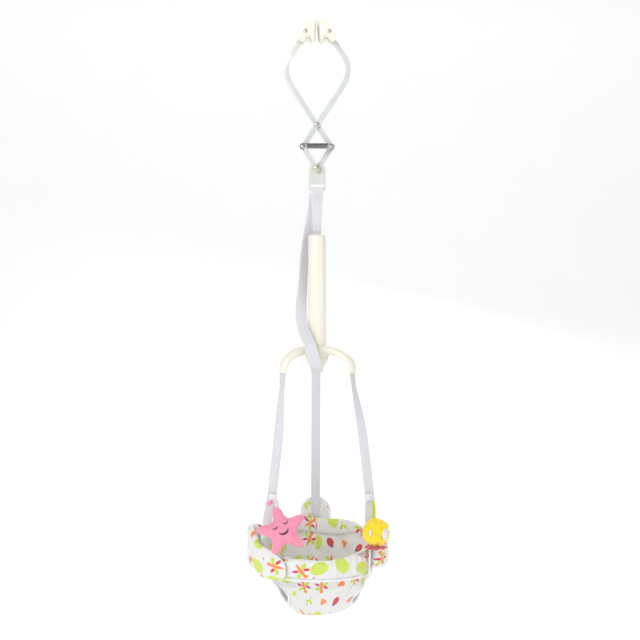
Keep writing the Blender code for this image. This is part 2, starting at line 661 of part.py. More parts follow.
def build_seat(joint):
    build_seat_sling(joint)
    cloth = "printed cotton"
    ring_pad("front_roll", 270, 52, -1.0750, 0.0168, 0.0100, 0.0090, cloth, joint)
    ring_pad("back_band", 90, 56, -1.0410, 0.0170, 0.0042, 0.0037, cloth, joint)
    ring_pad("wing_left", 180, 31, -1.0560, 0.0420, 0.0185, 0.0085, cloth, joint)
    ring_pad("wing_right", 0, 31, -1.0560, 0.0420, 0.0185, 0.0085, cloth, joint)
    half, top, foot = 0.0310, -0.9780, -1.0600
    outline = arc(0, top - half, half, 180, 0, 14) + [(half * 0.97, foot), (-half * 0.97, foot)]
    extrude("back_tab", outline, 0.1203, 0.1233, cloth, joint)


def star_radius(angle):
    points = 0.5 + 0.5 * math.cos(5 * angle)
    return 0.030 + (STAR_RADIUS - 0.030) * points ** 1.25


def build_star(joint, carrier):
    """A plush star that hangs from a band round the left strap and leans on the seat."""
    tilt = math.radians(22)
    right, up = Vector((1, 0, 0)), Vector((0, math.sin(tilt), math.cos(tilt)))
    back = up.cross(right) * -1
    rings = []
    for size, depth in ((0.62, -0.5), (0.90, -0.36), (1.0, -0.1), (1.0, 0.1), (0.90, 0.36), (0.62, 0.5)):
        ring = []
        for i in range(50):
            a = 2 * math.pi * i / 50
            r = star_radius(a) * size
            turned = a + STAR_TURN
            place = right * (r * math.cos(turned)) + up * (r * math.sin(turned))
            ring.append(Vector(STAR_CENTRE) + place + back * (depth * STAR_THICK))
        rings.append(ring)
    loft("star_toy", rings, "pink plush", joint)
    tip_direction = right * math.cos(STAR_TURN) + up * math.sin(STAR_TURN)
    tip = Vector(STAR_CENTRE) + tip_direction * (STAR_RADIUS + 2 * GAP)
    ribbon("star_tab", [tip, tip.lerp(Vector(STAR_PIVOT), 0.5), Vector(STAR_PIVOT)], [(0.8, -0.6, 0)],
           [0.008], 0.0016, "pink plush", joint)
    strap_band("star_band", "left", -0.9450, 0.014, "webbing", carrier)


def strap_band(name, side, z, height, finish, joint):
    """A flat sleeve round a side strap."""
    centre, wide = strap_place(side, z)
    away = (seat_end(side) + Vector((0, 0, -1.0050)) - strap_pin(side)).normalized()
    wide = (wide - away * wide.dot(away)).normalized()
    deep = away.cross(wide)
    rings = []
    for i in range(20):
        a = 2 * math.pi * i / 20
        ring = []
        for reach, end in ((0.0, -0.5), (0.0012, -0.5), (0.0012, 0.5), (0.0, 0.5)):
            x = (0.0118 + reach) * math.copysign(abs(math.cos(a)) ** 0.6, math.cos(a))
            y = (0.0030 + reach) * math.copysign(abs(math.sin(a)) ** 0.8, math.sin(a))
            ring.append(centre + wide * x + deep * y + away * (end * height))
        rings.append(ring)
    loft(name, rings, finish, joint, closed=True)


def strap_place(side, z):
    """Centre and width direction of a side strap at a height."""
    pin, foot = strap_pin(side), seat_end(side) + Vector((0, 0, -1.0050))
    share = (pin.z - z) / (pin.z - foot.z)
    start = direction_of(YOKE_DIRECTIONS[side] + 90)
    far = Vector((SIGN[side] * -0.62, -0.78, 0)) * (-SIGN[side])
    return pin.lerp(foot, share), start.lerp(far, 0.55 + 0.45 * share).normalized()


def build_ball(joint, carrier):
    """A plush ball on a ribbon from a band round the right strap, with a felt frill below it."""
    rings = []
    for i in range(1, 12):
        b = math.pi * i / 12
        rings.append([Vector(BALL_CENTRE) + Vector((math.sin(b) * math.cos(a), math.sin(b) * math.sin(a),
                                                    -math.cos(b))) * BALL_RADIUS
                      for a in (2 * math.pi * k / 20 for k in range(20))])
    loft("ball_toy", rings, "yellow plush", joint)
    frill = []
    for z in (-0.0022, 0.0):
        foot = BALL_CENTRE[2] - BALL_RADIUS * math.cos(math.pi / 12) - GAP + z
        frill.append([(BALL_CENTRE[0] + (0.0205 + 0.0025 * math.cos(8 * a)) * math.cos(a),
                       BALL_CENTRE[1] + (0.0205 + 0.0025 * math.cos(8 * a)) * math.sin(a), foot)
                      for a in (2 * math.pi * k / 48 for k in range(48))])
    loft("ball_frill", frill, "crimson felt", joint)
    top = Vector(BALL_CENTRE) + (Vector(BALL_PIVOT) - Vector(BALL_CENTRE)).normalized() * (BALL_RADIUS + GAP)
    ribbon("ball_ribbon", [Vector(BALL_PIVOT).lerp(top, k / 4) for k in range(5)], [(0.9, 0.2, 0)],
           [0.010], 0.0012, "lime ribbon", joint)
    strap_band("ball_band", "right", -0.9450, 0.014, "lime ribbon", carrier)




def build_jumper():
    clear_scene()
    root = joint_empty("clamp_root", tuple(PIVOT))
    joints = build_clamp(root)
    hanger = joint_empty("hanger_joint", tuple(LOWER_PIN), joints["lower"])
    build_hanger(hanger)
    strap = joint_empty("strap_joint", (0, 0, HANGER_BAR_Z), hanger)
    build_upper_strap(strap)
    carrier = joint_empty("bounce_joint", (0, 0, TUBE_TOP), strap)
    build_bounce(strap, carrier)
    build_safety_strap(strap, carrier)
    build_yoke(carrier)
    build_straps(carrier)
    build_seat(carrier)
    build_star(joint_empty("star_joint", STAR_PIVOT, carrier), carrier)
    build_ball(joint_empty("ball_joint", BALL_PIVOT, carrier), carrier)


build_jumper()
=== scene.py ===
"""Looks of the doorway activity jumper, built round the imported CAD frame. Metres, +Z up."""
import json
import math

import bpy
import bmesh
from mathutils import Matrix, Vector, noise


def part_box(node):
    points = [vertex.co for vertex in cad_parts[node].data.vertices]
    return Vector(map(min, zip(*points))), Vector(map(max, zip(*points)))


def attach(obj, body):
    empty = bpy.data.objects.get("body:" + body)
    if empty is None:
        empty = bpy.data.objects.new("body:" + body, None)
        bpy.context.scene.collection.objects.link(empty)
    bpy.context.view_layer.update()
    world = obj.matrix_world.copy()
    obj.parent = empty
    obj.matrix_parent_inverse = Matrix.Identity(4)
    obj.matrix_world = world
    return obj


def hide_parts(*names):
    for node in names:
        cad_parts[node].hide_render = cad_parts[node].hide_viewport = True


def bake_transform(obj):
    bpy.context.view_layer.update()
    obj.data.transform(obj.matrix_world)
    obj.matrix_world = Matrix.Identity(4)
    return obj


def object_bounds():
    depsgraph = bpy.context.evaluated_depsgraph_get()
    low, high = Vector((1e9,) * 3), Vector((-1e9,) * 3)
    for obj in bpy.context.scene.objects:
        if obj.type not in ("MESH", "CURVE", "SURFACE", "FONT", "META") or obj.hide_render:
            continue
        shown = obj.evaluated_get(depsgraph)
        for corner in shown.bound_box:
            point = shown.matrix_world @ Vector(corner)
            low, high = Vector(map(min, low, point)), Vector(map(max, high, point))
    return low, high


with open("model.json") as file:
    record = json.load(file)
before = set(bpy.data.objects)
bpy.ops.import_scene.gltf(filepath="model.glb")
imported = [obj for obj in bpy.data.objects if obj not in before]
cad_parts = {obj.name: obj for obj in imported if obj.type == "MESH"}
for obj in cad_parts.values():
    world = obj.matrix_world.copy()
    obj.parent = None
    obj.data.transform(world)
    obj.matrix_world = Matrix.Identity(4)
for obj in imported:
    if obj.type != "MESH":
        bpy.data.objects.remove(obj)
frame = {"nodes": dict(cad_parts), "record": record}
cad_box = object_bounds()
SLOT_OF = {s["node"]: s["material_slot"] for s in frame["record"]["subparts"]}
BODY_OF = {n: body for body, nodes in frame["record"]["behaviour"]["bodies"].items() for n in nodes}

# ---------------------------------------------------------------- camera, stage and light
CAMERA_DISTANCE = 2.0
CAMERA_HEIGHT = -0.591
CAMERA_TURN = math.radians(-1.8)
CAMERA_AIM_X = 0.006
CAMERA_LENS, CAMERA_SENSOR = 54.6, 36.0                  # millimetres
FLOOR_DROP = 0.10
PAPER_HALF, PAPER_FRONT, PAPER_TOP = 7.0, -6.0, 5.0      # the studio's paper sweep
PAPER_BEND_Y, PAPER_BEND, PAPER_STEPS = 1.5, 2.5, 24     # where it starts to bend, its radius and its steps


def build_camera():
    data = bpy.data.cameras.new("camera")
    data.lens, data.sensor_width = CAMERA_LENS, CAMERA_SENSOR
    camera = bpy.data.objects.new("camera", data)
    bpy.context.collection.objects.link(camera)
    aim = Vector((CAMERA_AIM_X, 0, CAMERA_HEIGHT))
    back = Vector((math.sin(CAMERA_TURN), -math.cos(CAMERA_TURN), 0)) * CAMERA_DISTANCE
    camera.location = aim + back
    camera.rotation_euler = (-back).to_track_quat("-Z", "Y").to_euler()
    bpy.context.scene.camera = camera


def area_light(name, place, aim, size, power, colour=(1, 1, 1)):
    data = bpy.data.lights.new(name, "AREA")
    data.energy, data.size, data.color = power, size, colour
    light = bpy.data.objects.new(name, data)
    bpy.context.collection.objects.link(light)
    light.location = place
    light.rotation_euler = (Vector(aim) - Vector(place)).to_track_quat("-Z", "Y").to_euler()


def build_stage():
    world = bpy.data.worlds.new("studio")
    world.use_nodes = True
    background = world.node_tree.nodes["Background"]
    background.inputs["Color"].default_value = (0.97, 0.98, 1.0, 1)
    background.inputs["Strength"].default_value = 0.50
    bpy.context.scene.world = world
    bpy.context.scene.view_settings.view_transform = "Standard"
    ground = cad_box[0][2] - FLOOR_DROP
    look = Look("studio_paper", roughness=0.9, emission_color=(1, 1, 1, 1), emission_strength=0.26)
    look.colour(look.mix(look.noise(3, 2), (0.93, 0.93, 0.93, 1), (0.96, 0.96, 0.96, 1)))
    sweep = [(PAPER_FRONT, ground), (PAPER_BEND_Y, ground)]
    for i in range(1, PAPER_STEPS + 1):
        a = math.pi / 2 * i / PAPER_STEPS
        sweep.append((PAPER_BEND_Y + PAPER_BEND * math.sin(a), ground + PAPER_BEND * (1 - math.cos(a))))
    sweep.append((PAPER_BEND_Y + PAPER_BEND, PAPER_TOP))
    verts = [(x, y, z) for y, z in sweep for x in (-PAPER_HALF, PAPER_HALF)]
    faces = [(2 * i, 2 * i + 1, 2 * i + 3, 2 * i + 2) for i in range(len(sweep) - 1)]
    paper = new_mesh("studio_paper", verts, faces)
    paper.data.shade_smooth()
    paper.data.materials.append(look.material)
    area_light("key", (-1.6, -2.2, 0.9), (0, 0, -0.5), 1.6, 50, (1.0, 0.98, 0.95))
    area_light("fill", (2.2, -1.4, 0.2), (0, 0, -0.7), 2.0, 15, (0.95, 0.97, 1.0))
    area_light("rim", (0.8, 2.4, 1.0), (0, 0, -0.6), 1.4, 26)
    area_light("low", (0.2, -1.8, -1.6), (0, 0, -0.9), 1.4, 5)


# ---------------------------------------------------------------- procedural materials
class Look:
    """A Principled material, built node by node. Numbers the same all over go on its own sockets."""

    def __init__(self, name, **sockets):
        self.material = bpy.data.materials.new(name)
        self.material.use_nodes = True
        self.tree = self.material.node_tree
        self.shader = self.tree.nodes["Principled BSDF"]
        for socket, value in sockets.items():
            self.shader.inputs[socket.replace("_", " ").title().replace("Ior", "IOR")].default_value = value
        self.place = self.tree.nodes.new("ShaderNodeTexCoord").outputs["Object"]

    def put(self, kind, inputs, out=0, **settings):
        node = self.tree.nodes.new(kind)
        for key, value in settings.items():
            setattr(node, key, value)
        for key, value in inputs.items():
            self.feed(node.inputs[key], value)
        return node.outputs[out]

    def feed(self, socket, value):
        if isinstance(value, bpy.types.NodeSocket):
            self.tree.links.new(value, socket)
        elif value is not None:
            socket.default_value = value

    def math(self, operation, a, b=0.0, c=0.0):
        return self.put("ShaderNodeMath", {0: a, 1: b, 2: c}, operation=operation)

    def mix(self, share, low, high):
        return self.put("ShaderNodeMix", {0: share, 6: low, 7: high}, out=2, data_type="RGBA")

    def noise(self, scale, detail=2.0, vector=None, out="Fac"):
        inputs = {"Vector": vector or self.place, "Scale": scale, "Detail": detail}
        return self.put("ShaderNodeTexNoise", inputs, out=out)

    def step(self, value, low, high):
        """0 below low, 1 above high, smooth between."""
        return self.put("ShaderNodeMapRange", {0: value, 1: low, 2: high}, interpolation_type="SMOOTHSTEP")

    def split(self, vector):
        node = self.tree.nodes.new("ShaderNodeSeparateXYZ")
        self.feed(node.inputs[0], vector)
        return node.outputs

    def join(self, x, y, z=0.0):
        return self.put("ShaderNodeCombineXYZ", {0: x, 1: y, 2: z})

    def colour(self, value):
        self.feed(self.shader.inputs["Base Color"], value)

    def rough(self, value):
        self.feed(self.shader.inputs["Roughness"], value)

    def bump(self, height, distance, strength=1.0):
        old = self.shader.inputs["Normal"].links
        normal = old[0].from_socket if old else None
        made = self.put("ShaderNodeBump", {"Height": height, "Distance": distance, "Strength": strength,
                                           "Normal": normal})
        self.tree.links.new(made, self.shader.inputs["Normal"])

    def weave(self, across, along, pitch, depth):
        """Crossing threads: two waves at right angles, one over the other."""
        warp = self.math("SINE", self.math("MULTIPLY", across, 2 * math.pi / pitch))
        weft = self.math("SINE", self.math("MULTIPLY", along, 2 * math.pi / pitch))
        cloth = self.math("MULTIPLY", warp, weft)
        self.bump(cloth, depth, 0.6)
        return cloth


def rgb(*c):
    return (*c[:3], 1.0)


def painted_steel():
    look = Look("painted_steel", roughness=0.38, metallic=0.05, coat_weight=0.25)
    blotch = look.noise(60, 3)
    chips = look.step(look.noise(420, 4), 0.69, 0.72)
    base = look.mix(blotch, rgb(0.57, 0.60, 0.565), rgb(0.66, 0.69, 0.65))
    look.colour(look.mix(look.math("MULTIPLY", chips, 0.45), base, rgb(0.52, 0.53, 0.52)))
    look.rough(look.math("MULTIPLY_ADD", look.noise(250, 3), 0.22, 0.26))
    look.bump(look.noise(900, 2), 0.00012, 0.4)
    return look.material


def ivory_plastic():
    look = Look("ivory_plastic", roughness=0.36, coat_weight=0.3, coat_roughness=0.25)
    blotch = look.noise(25, 3)
    scuff = look.step(look.noise(300, 5), 0.60, 0.72)
    base = look.mix(blotch, rgb(0.80, 0.77, 0.66), rgb(0.86, 0.835, 0.73))
    look.colour(look.mix(look.math("MULTIPLY", scuff, 0.20), base, rgb(0.74, 0.70, 0.60)))
    look.rough(look.math("MULTIPLY_ADD", look.noise(180, 3), 0.20, 0.26))
    look.bump(look.noise(1400, 2), 0.00008, 0.35)
    return look.material


def grip_rubber():
    look = Look("grip_rubber", roughness=0.8)
    look.colour(look.mix(look.noise(200, 3), rgb(0.70, 0.68, 0.60), rgb(0.82, 0.80, 0.72)))
    ribs = look.math("SINE", look.math("MULTIPLY", look.split(look.place)[2], 2 * math.pi / 0.003))
    look.bump(ribs, 0.0004, 0.8)
    return look.material


def bright_metal(name, dark, light, low, scale=350):
    look = Look(name, roughness=0.3, metallic=1.0)
    streak = look.noise(scale, 4)
    look.colour(look.mix(streak, dark, light))
    look.rough(look.math("MULTIPLY_ADD", look.noise(scale * 2, 3), 0.25, low))
    look.bump(look.noise(scale * 4, 2), 0.00005, 0.4)
    return look.material


def webbing_cloth():
    """Woven tape: U runs across the tape in metres, V along it."""
    look = Look("webbing", roughness=0.85, sheen_weight=0.25, sheen_roughness=0.5)
    u, v = look.split(look.put("ShaderNodeUVMap", {}, uv_map="tape"))[:2]
    slope = look.math("ADD", v, look.math("ABSOLUTE", u))
    rib = look.math("SINE", look.math("MULTIPLY", slope, 2 * math.pi / 0.0021))
    thread = look.weave(u, v, 0.0011, 0.00022)
    look.bump(rib, 0.00030, 0.7)
    # The colour is darker in the grooves of the ribs and threads: painted shade, following the bump.
    shade = look.math("MULTIPLY_ADD", rib, 0.22, look.math("MULTIPLY_ADD", thread, 0.14, 0.5))
    base = look.mix(shade, rgb(0.67, 0.67, 0.72), rgb(0.86, 0.86, 0.90))
    edge = look.step(look.math("ABSOLUTE", u), 0.0082, 0.0092)
    base = look.mix(look.math("MULTIPLY", edge, 0.25), base, rgb(0.95, 0.95, 0.97))
    look.colour(look.mix(look.math("MULTIPLY", look.noise(30, 3), 0.35), base, rgb(0.80, 0.80, 0.84)))
    return look.material


LIME = rgb(0.56, 0.72, 0.04)
ORANGE, CRIMSON = rgb(0.90, 0.26, 0.05), rgb(0.72, 0.03, 0.09)
INK = rgb(0.10, 0.10, 0.12)


PRINT_SCALE = 1.35


class Motifs:
    """Small printed shapes, one in each cell of a scattered pattern over the cloth."""

    def __init__(self, look, u, v, size, spread, seed):
        self.look = look
        shifted = look.join(look.math("ADD", u, seed), v)
        cells = look.tree.nodes.new("ShaderNodeTexVoronoi")
        cells.voronoi_dimensions = "2D"
        look.feed(cells.inputs["Vector"], shifted)
        look.feed(cells.inputs["Scale"], 1 / size)
        look.feed(cells.inputs["Randomness"], spread)
        self.pick, self.turn, self.other = look.split(cells.outputs["Color"])
        centre = look.split(cells.outputs["Position"])
        x = look.math("SUBTRACT", look.split(shifted)[0], centre[0])
        y = look.math("SUBTRACT", v, centre[1])
        angle = look.math("MULTIPLY", self.turn, 2 * math.pi)
        c, s = look.math("COSINE", angle), look.math("SINE", angle)
        self.x = look.math("SUBTRACT", look.math("MULTIPLY", x, c), look.math("MULTIPLY", y, s))
        self.y = look.math("ADD", look.math("MULTIPLY", x, s), look.math("MULTIPLY", y, c))

    def blob(self, cx, cy, a, b, turn=0.0):
        """1 inside an ellipse in millimetres."""
        look = self.look
        x, y = look.math("SUBTRACT", self.x, cx / 1000), look.math("SUBTRACT", self.y, cy / 1000)
        c, s = math.cos(math.radians(turn)), math.sin(math.radians(turn))
        along = look.math("MULTIPLY_ADD", x, c, look.math("MULTIPLY", y, s))
        over = look.math("MULTIPLY_ADD", x, -s, look.math("MULTIPLY", y, c))
        far = look.math("ADD", look.math("POWER", look.math("MULTIPLY", along, 1000 / a), 2.0),
                        look.math("POWER", look.math("MULTIPLY", over, 1000 / b), 2.0))
        return look.math("SUBTRACT", 1.0, look.step(far, 0.88, 1.10))

    def either(self, *masks):
        whole = masks[0]
        for mask in masks[1:]:
            whole = self.look.math("MAXIMUM", whole, mask)
        return whole

    def chosen(self, low, high, mask):
        """A mask kept only in the cells whose pick lies between two shares."""
        look = self.look
        within = look.math("MULTIPLY", look.math("GREATER_THAN", self.pick, low),
                           look.math("LESS_THAN", self.pick, high))
        return look.math("MULTIPLY", within, mask)


def print_colour(look, u, v, base):
    """Leaves, bugs, hearts and sprouts of a generic nursery print."""
    u, v = look.math("DIVIDE", u, PRINT_SCALE), look.math("DIVIDE", v, PRINT_SCALE)
    big = Motifs(look, u, v, 0.0285, 0.42, 0.0)
    leaf = big.chosen(0.0, 0.30, big.blob(0, 0, 12, 8.5))
    dots = look.put("ShaderNodeTexVoronoi", {"Vector": look.join(u, v), "Scale": 420.0, "Randomness": 0.2},
                    voronoi_dimensions="2D")
    base = look.mix(leaf, base, look.mix(look.step(dots, 0.22, 0.34), rgb(0.80, 0.88, 0.30), LIME))
    wings = big.either(big.blob(-3, 6.5, 5.0, 2.6, 115), big.blob(4.5, -6, 5.0, 2.6, 115))
    base = look.mix(big.chosen(0.30, 0.56, wings), base, LIME)
    wings = big.either(big.blob(2.5, 6.8, 4.2, 2.0, 60), big.blob(-2.5, -6.5, 4.2, 2.0, 60))
    base = look.mix(big.chosen(0.30, 0.56, wings), base, CRIMSON)
    body = big.either(big.blob(0, 0, 11, 2.2), big.blob(9.5, 0, 3.2, 3.0))
    base = look.mix(big.chosen(0.30, 0.56, body), base, ORANGE)
    beetle = big.blob(0, 0, 7.5, 5.4)
    base = look.mix(big.chosen(0.56, 0.72, beetle), base, rgb(0.78, 0.05, 0.05))
    spots = big.either(big.blob(-2.5, 2, 1.5, 1.3), big.blob(2.5, 2.2, 1.2, 1.2), big.blob(0, -2.4, 1.5, 1.2),
                       big.blob(7.0, 0, 2.2, 2.6), big.blob(-4.8, -1.6, 1.0, 1.0))
    base = look.mix(big.chosen(0.56, 0.72, spots), base, INK)
    heart = big.either(big.blob(-2.4, 1.6, 4.4, 3.1, 125), big.blob(2.4, 1.6, 4.4, 3.1, 55),
                       big.blob(0, -1.6, 2.4, 4.0))
    base = look.mix(big.chosen(0.72, 0.86, heart), base, ORANGE)
    sprout = big.either(big.blob(-3.6, 4, 4.6, 2.3, 130), big.blob(3.6, 5, 4.6, 2.3, 50),
                        big.blob(0, -2.5, 0.8, 6))
    base = look.mix(big.chosen(0.86, 1.01, sprout), base, LIME)
    small = Motifs(look, u, v, 0.0215, 0.9, 0.7)
    ring = look.math("SUBTRACT", small.blob(0, 0, 3.4, 2.4), small.blob(0.3, 0, 2.7, 1.8))
    tails = small.either(ring, small.blob(4.2, 1.2, 2.4, 0.45, 30), small.blob(-3.8, -1.6, 2.2, 0.4, 60))
    base = look.mix(look.math("MULTIPLY", small.chosen(0.0, 0.20, tails), 0.7), base, rgb(0.42, 0.44, 0.46))
    base = look.mix(small.chosen(0.30, 0.44, small.blob(1, 0, 1.5, 1.3)), base, CRIMSON)
    return look.mix(small.chosen(0.60, 0.72, small.blob(0, 0, 3.2, 1.5)), base, rgb(0.66, 0.78, 0.20))


def printed_cotton(name="printed_cotton", printed=True, tint=(0.86, 0.86, 0.845)):
    """Cotton canvas wrapped round the seat: U is the way round it, V is up, both in metres."""
    look = Look(name, roughness=0.9, sheen_weight=0.2, sheen_roughness=0.6)
    x, y, z = look.split(look.place)
    u = look.math("MULTIPLY", look.math("ARCTAN2", x, look.math("MULTIPLY", y, -1.0)), 0.112)
    cloth = look.weave(u, z, 0.00085, 0.00016)
    creases_and_shade = look.noise(26, 4)
    # The base colour is darker where the crease height is low: painted crease shade.
    base = look.mix(creases_and_shade, rgb(*(c * 0.88 for c in tint)), rgb(*tint))
    if printed:
        base = print_colour(look, u, z, base)
    # The colour is greyed along the weave's thread pattern: painted shade between the threads.
    base = look.mix(look.math("MULTIPLY_ADD", cloth, 0.05, 0.05), base, rgb(0.45, 0.45, 0.44))
    look.colour(base)
    look.bump(creases_and_shade, 0.0036, 0.75)
    look.bump(look.noise(90, 3), 0.0006, 0.45)
    return look.material


def plush(name, low, high, scale, depth):
    look = Look(name, roughness=0.95, sheen_weight=0.7, sheen_roughness=0.45)
    pile_and_shade = look.noise(scale, 4)
    # The low colour is used where the pile is low and the high colour where it stands up: painted shade in
    # the pile.
    look.colour(look.mix(look.step(pile_and_shade, 0.36, 0.62), low, high))
    look.bump(pile_and_shade, depth, 0.8)
    look.bump(look.noise(scale * 0.15, 3), depth * 2, 0.4)
    return look.material


def thread_look(name, colour):
    look = Look(name, roughness=0.7, sheen_weight=0.2)
    twist = look.noise(2400, 2)
    # The colour is darker where the twist bump is low: painted shade.
    look.colour(look.mix(twist, rgb(*(c * 0.80 for c in colour)), rgb(*colour)))
    look.bump(twist, 0.0001, 0.6)
    return look.material


def ribbon_look(name, colour):
    look = Look(name, roughness=0.5, sheen_weight=0.4)
    z = look.split(look.place)[2]
    rib = look.math("SINE", look.math("MULTIPLY", z, 2 * math.pi / 0.0009))
    # The colour is darker in the rib grooves: painted shade, following the bump.
    shade = look.math("MULTIPLY_ADD", rib, 0.3, 0.5)
    look.colour(look.mix(shade, rgb(*(c * 0.75 for c in colour)), rgb(*colour)))
    look.bump(rib, 0.0002, 0.5)
    return look.material


# ---------------------------------------------------------------- mesh helpers
def finish_piece(obj, body, material, stands_for=(), angle=40):
    mesh = obj.data
    if material:
        mesh.materials.clear()
        mesh.materials.append(material)
    mesh.shade_smooth()
    mesh.set_sharp_from_angle(angle=math.radians(angle))
    if body:
        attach(obj, body)
    if stands_for:
        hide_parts(*stands_for)
    return obj


def new_mesh(name, verts, faces):
    mesh = bpy.data.meshes.new(name)
    mesh.from_pydata([tuple(v) for v in verts], [], faces)
    bm = bmesh.new()
    bm.from_mesh(mesh)
    bmesh.ops.recalc_face_normals(bm, faces=bm.faces)
    bm.to_mesh(mesh)
    bm.free()
    obj = bpy.data.objects.new(name, mesh)
    bpy.context.collection.objects.link(obj)
    return obj


def loft(name, rings, closed=False, capped=True):
    sides = len(rings[0])
    faces = []
    for a in range(len(rings) if closed else len(rings) - 1):
        b = (a + 1) % len(rings)
        faces += [(a * sides + i, a * sides + (i + 1) % sides, b * sides + (i + 1) % sides, b * sides + i)
                  for i in range(sides)]
    if capped and not closed:
        last = (len(rings) - 1) * sides
        faces += [tuple(range(sides)), tuple(last + i for i in range(sides))]
    return new_mesh(name, [v for ring in rings for v in ring], faces)


def smooth_over(obj, levels=1):
    """Applies one subdivision, so that no modifier is left on the piece."""
    modifier = obj.modifiers.new("smooth", "SUBSURF")
    modifier.levels = modifier.render_levels = levels
    apply_modifiers(obj)


def apply_modifiers(obj):
    graph = bpy.context.evaluated_depsgraph_get()
    mesh = bpy.data.meshes.new_from_object(obj.evaluated_get(graph))
    obj.modifiers.clear()
    old, obj.data = obj.data, mesh
    bpy.data.meshes.remove(old)


def tube_along(name, path, radius, sides=8, closed=False):
    path = [Vector(p) for p in path]
    count, rings, up = len(path), [], Vector((0.13, 0.97, 0.2))
    for i, point in enumerate(path):
        after = path[(i + 1) % count] if closed else path[min(i + 1, count - 1)]
        before = path[i - 1] if closed else path[max(i - 1, 0)]
        along = (after - before).normalized()
        up = (up - along * up.dot(along)).normalized()
        over = along.cross(up)
        rings.append([point + (up * math.cos(a) + over * math.sin(a)) * radius
                      for a in (2 * math.pi * k / sides for k in range(sides))])
    return loft(name, rings, closed)


def spline(points, steps):
    points = [Vector(p) for p in points]
    ends = [points[0] * 2 - points[1]] + points + [points[-1] * 2 - points[-2]]
    curve = []
    for i in range(1, len(ends) - 2):
        a, b, c, d = ends[i - 1:i + 3]
        for k in range(steps):
            t = k / steps
            curve.append(0.5 * (2 * b + (c - a) * t + (2 * a - 5 * b + 4 * c - d) * t ** 2
                                + (3 * b - a - 3 * c + d) * t ** 3))
    return curve + [points[-1]]


def tape(name, path, across, width, thick):
    """Woven tape with rounded selvedges along a path. Its width direction and width are read at each
    share of the path, and its UV map holds the distances across and along it."""
    path = [Vector(p) for p in path]
    rings, run, lengths = [], 0.0, []
    for i, point in enumerate(path):
        share = i / (len(path) - 1)
        along = (path[min(i + 1, len(path) - 1)] - path[max(i - 1, 0)]).normalized()
        wide = Vector(across(share))
        wide = (wide - along * wide.dot(along)).normalized()
        deep = along.cross(wide)
        half = width(share) / 2
        rings.append([point + wide * (x * half) + deep * (y * thick / 2) for x, y in TAPE_SECTION])
        run += (point - path[i - 1]).length if i else 0.0
        lengths.append(run)
    obj = loft(name, rings)
    layer = obj.data.uv_layers.new(name="tape")
    sides = len(TAPE_SECTION)
    for loop in obj.data.loops:
        ring, i = divmod(loop.vertex_index, sides)
        share = ring / (len(path) - 1)
        layer.data[loop.index].uv = (TAPE_SECTION[i][0] * width(share) / 2, lengths[ring])
    return obj


TAPE_EDGE = [(-1.0, -0.35), (-0.96, -0.9), (-0.5, -1.0), (0.0, -1.0), (0.5, -1.0), (0.96, -0.9), (1.0, -0.35)]
TAPE_SECTION = TAPE_EDGE + [(-x, -y) for x, y in TAPE_EDGE]


def stitches(name, path, normals, body, look, spacing=0.0036, length=0.0024, radius=0.00042):
    """A row of thread stitches that lie on a surface along a path."""
    verts, faces = [], []
    done, next_at = 0.0, spacing / 2
    for a, b, n in zip(path, path[1:], normals):
        step = (b - a).length
        while next_at <= done + step and step > 0:
            centre = a.lerp(b, (next_at - done) / step)
            along = (b - a).normalized()
            side = along.cross(n).normalized()
            base = len(verts)
            for share, size in ((-0.5, 0.35), (-0.25, 0.95), (0.25, 0.95), (0.5, 0.35)):
                lift = n * (radius * (1.2 if abs(share) < 0.3 else 0.1))
                for k in range(5):
                    t = 2 * math.pi * k / 5
                    verts.append(centre + along * (share * length) + lift
                                 + (side * math.cos(t) + n * math.sin(t)) * radius * size)
            for first in (base, base + 5, base + 10):
                for k in range(5):
                    m = (k + 1) % 5
                    faces.append((first + k, first + m, first + 5 + m, first + 5 + k))
            faces += [tuple(base + k for k in range(5)), tuple(base + 15 + k for k in range(5))]
            next_at += spacing
        done += step
    obj = new_mesh(name, verts, faces)
    return finish_piece(obj, body, look)


# ---------------------------------------------------------------- hard pieces, refined from the frame
BEVELS = {"arm_left": 0.0006, "arm_right": 0.0006, "link_left": 0.0006, "link_right": 0.0006,
          "hanger_plate": 0.0004, "yoke": 0.0012, "spring_tube": 0.0004, "tube_cap": 0.0005,
          "yoke_funnel": 0.0008, "jaw_left": 0.0006, "jaw_right": 0.0006, "lower_washer": 0.0003}
REPLACED = {"clamp_spring", "clamp_spring_hook", "bounce_spring", "upper_strap", "safety_strap", "strap_left",
            "strap_right", "strap_back", "seat_sling", "front_roll", "back_band", "wing_left", "wing_right",
            "back_tab", "star_toy", "star_tab", "star_band", "ball_toy", "ball_frill", "ball_ribbon",
            "ball_band"}


def refined(node, material, shift=(0, 0, 0)):
    """The CAD shape with its triangles joined into whole faces, fine bevels and smooth shading."""
    mesh = frame["nodes"][node].data.copy()
    for vertex in mesh.vertices:
        vertex.co += Vector(shift)
    bm = bmesh.new()
    bm.from_mesh(mesh)
    bmesh.ops.remove_doubles(bm, verts=bm.verts, dist=0.00001)
    bmesh.ops.dissolve_limit(bm, angle_limit=math.radians(1.0), verts=bm.verts, edges=bm.edges)
    bm.to_mesh(mesh)
    bm.free()
    obj = bpy.data.objects.new(node + "_look", mesh)
    bpy.context.collection.objects.link(obj)
    if node in BEVELS:
        modifier = obj.modifiers.new("bevel", "BEVEL")
        modifier.width, modifier.segments = BEVELS[node], 2
        modifier.limit_method, modifier.angle_limit = "ANGLE", math.radians(38)
        apply_modifiers(obj)
    return finish_piece(obj, BODY_OF[node], material, [node], 38)


def build_hard_pieces(looks):
    for node in sorted(frame["nodes"]):
        if node not in REPLACED:
            refined(node, looks[SLOT_OF[node]])


def middle(node):
    low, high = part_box(node)
    return (low + high) / 2


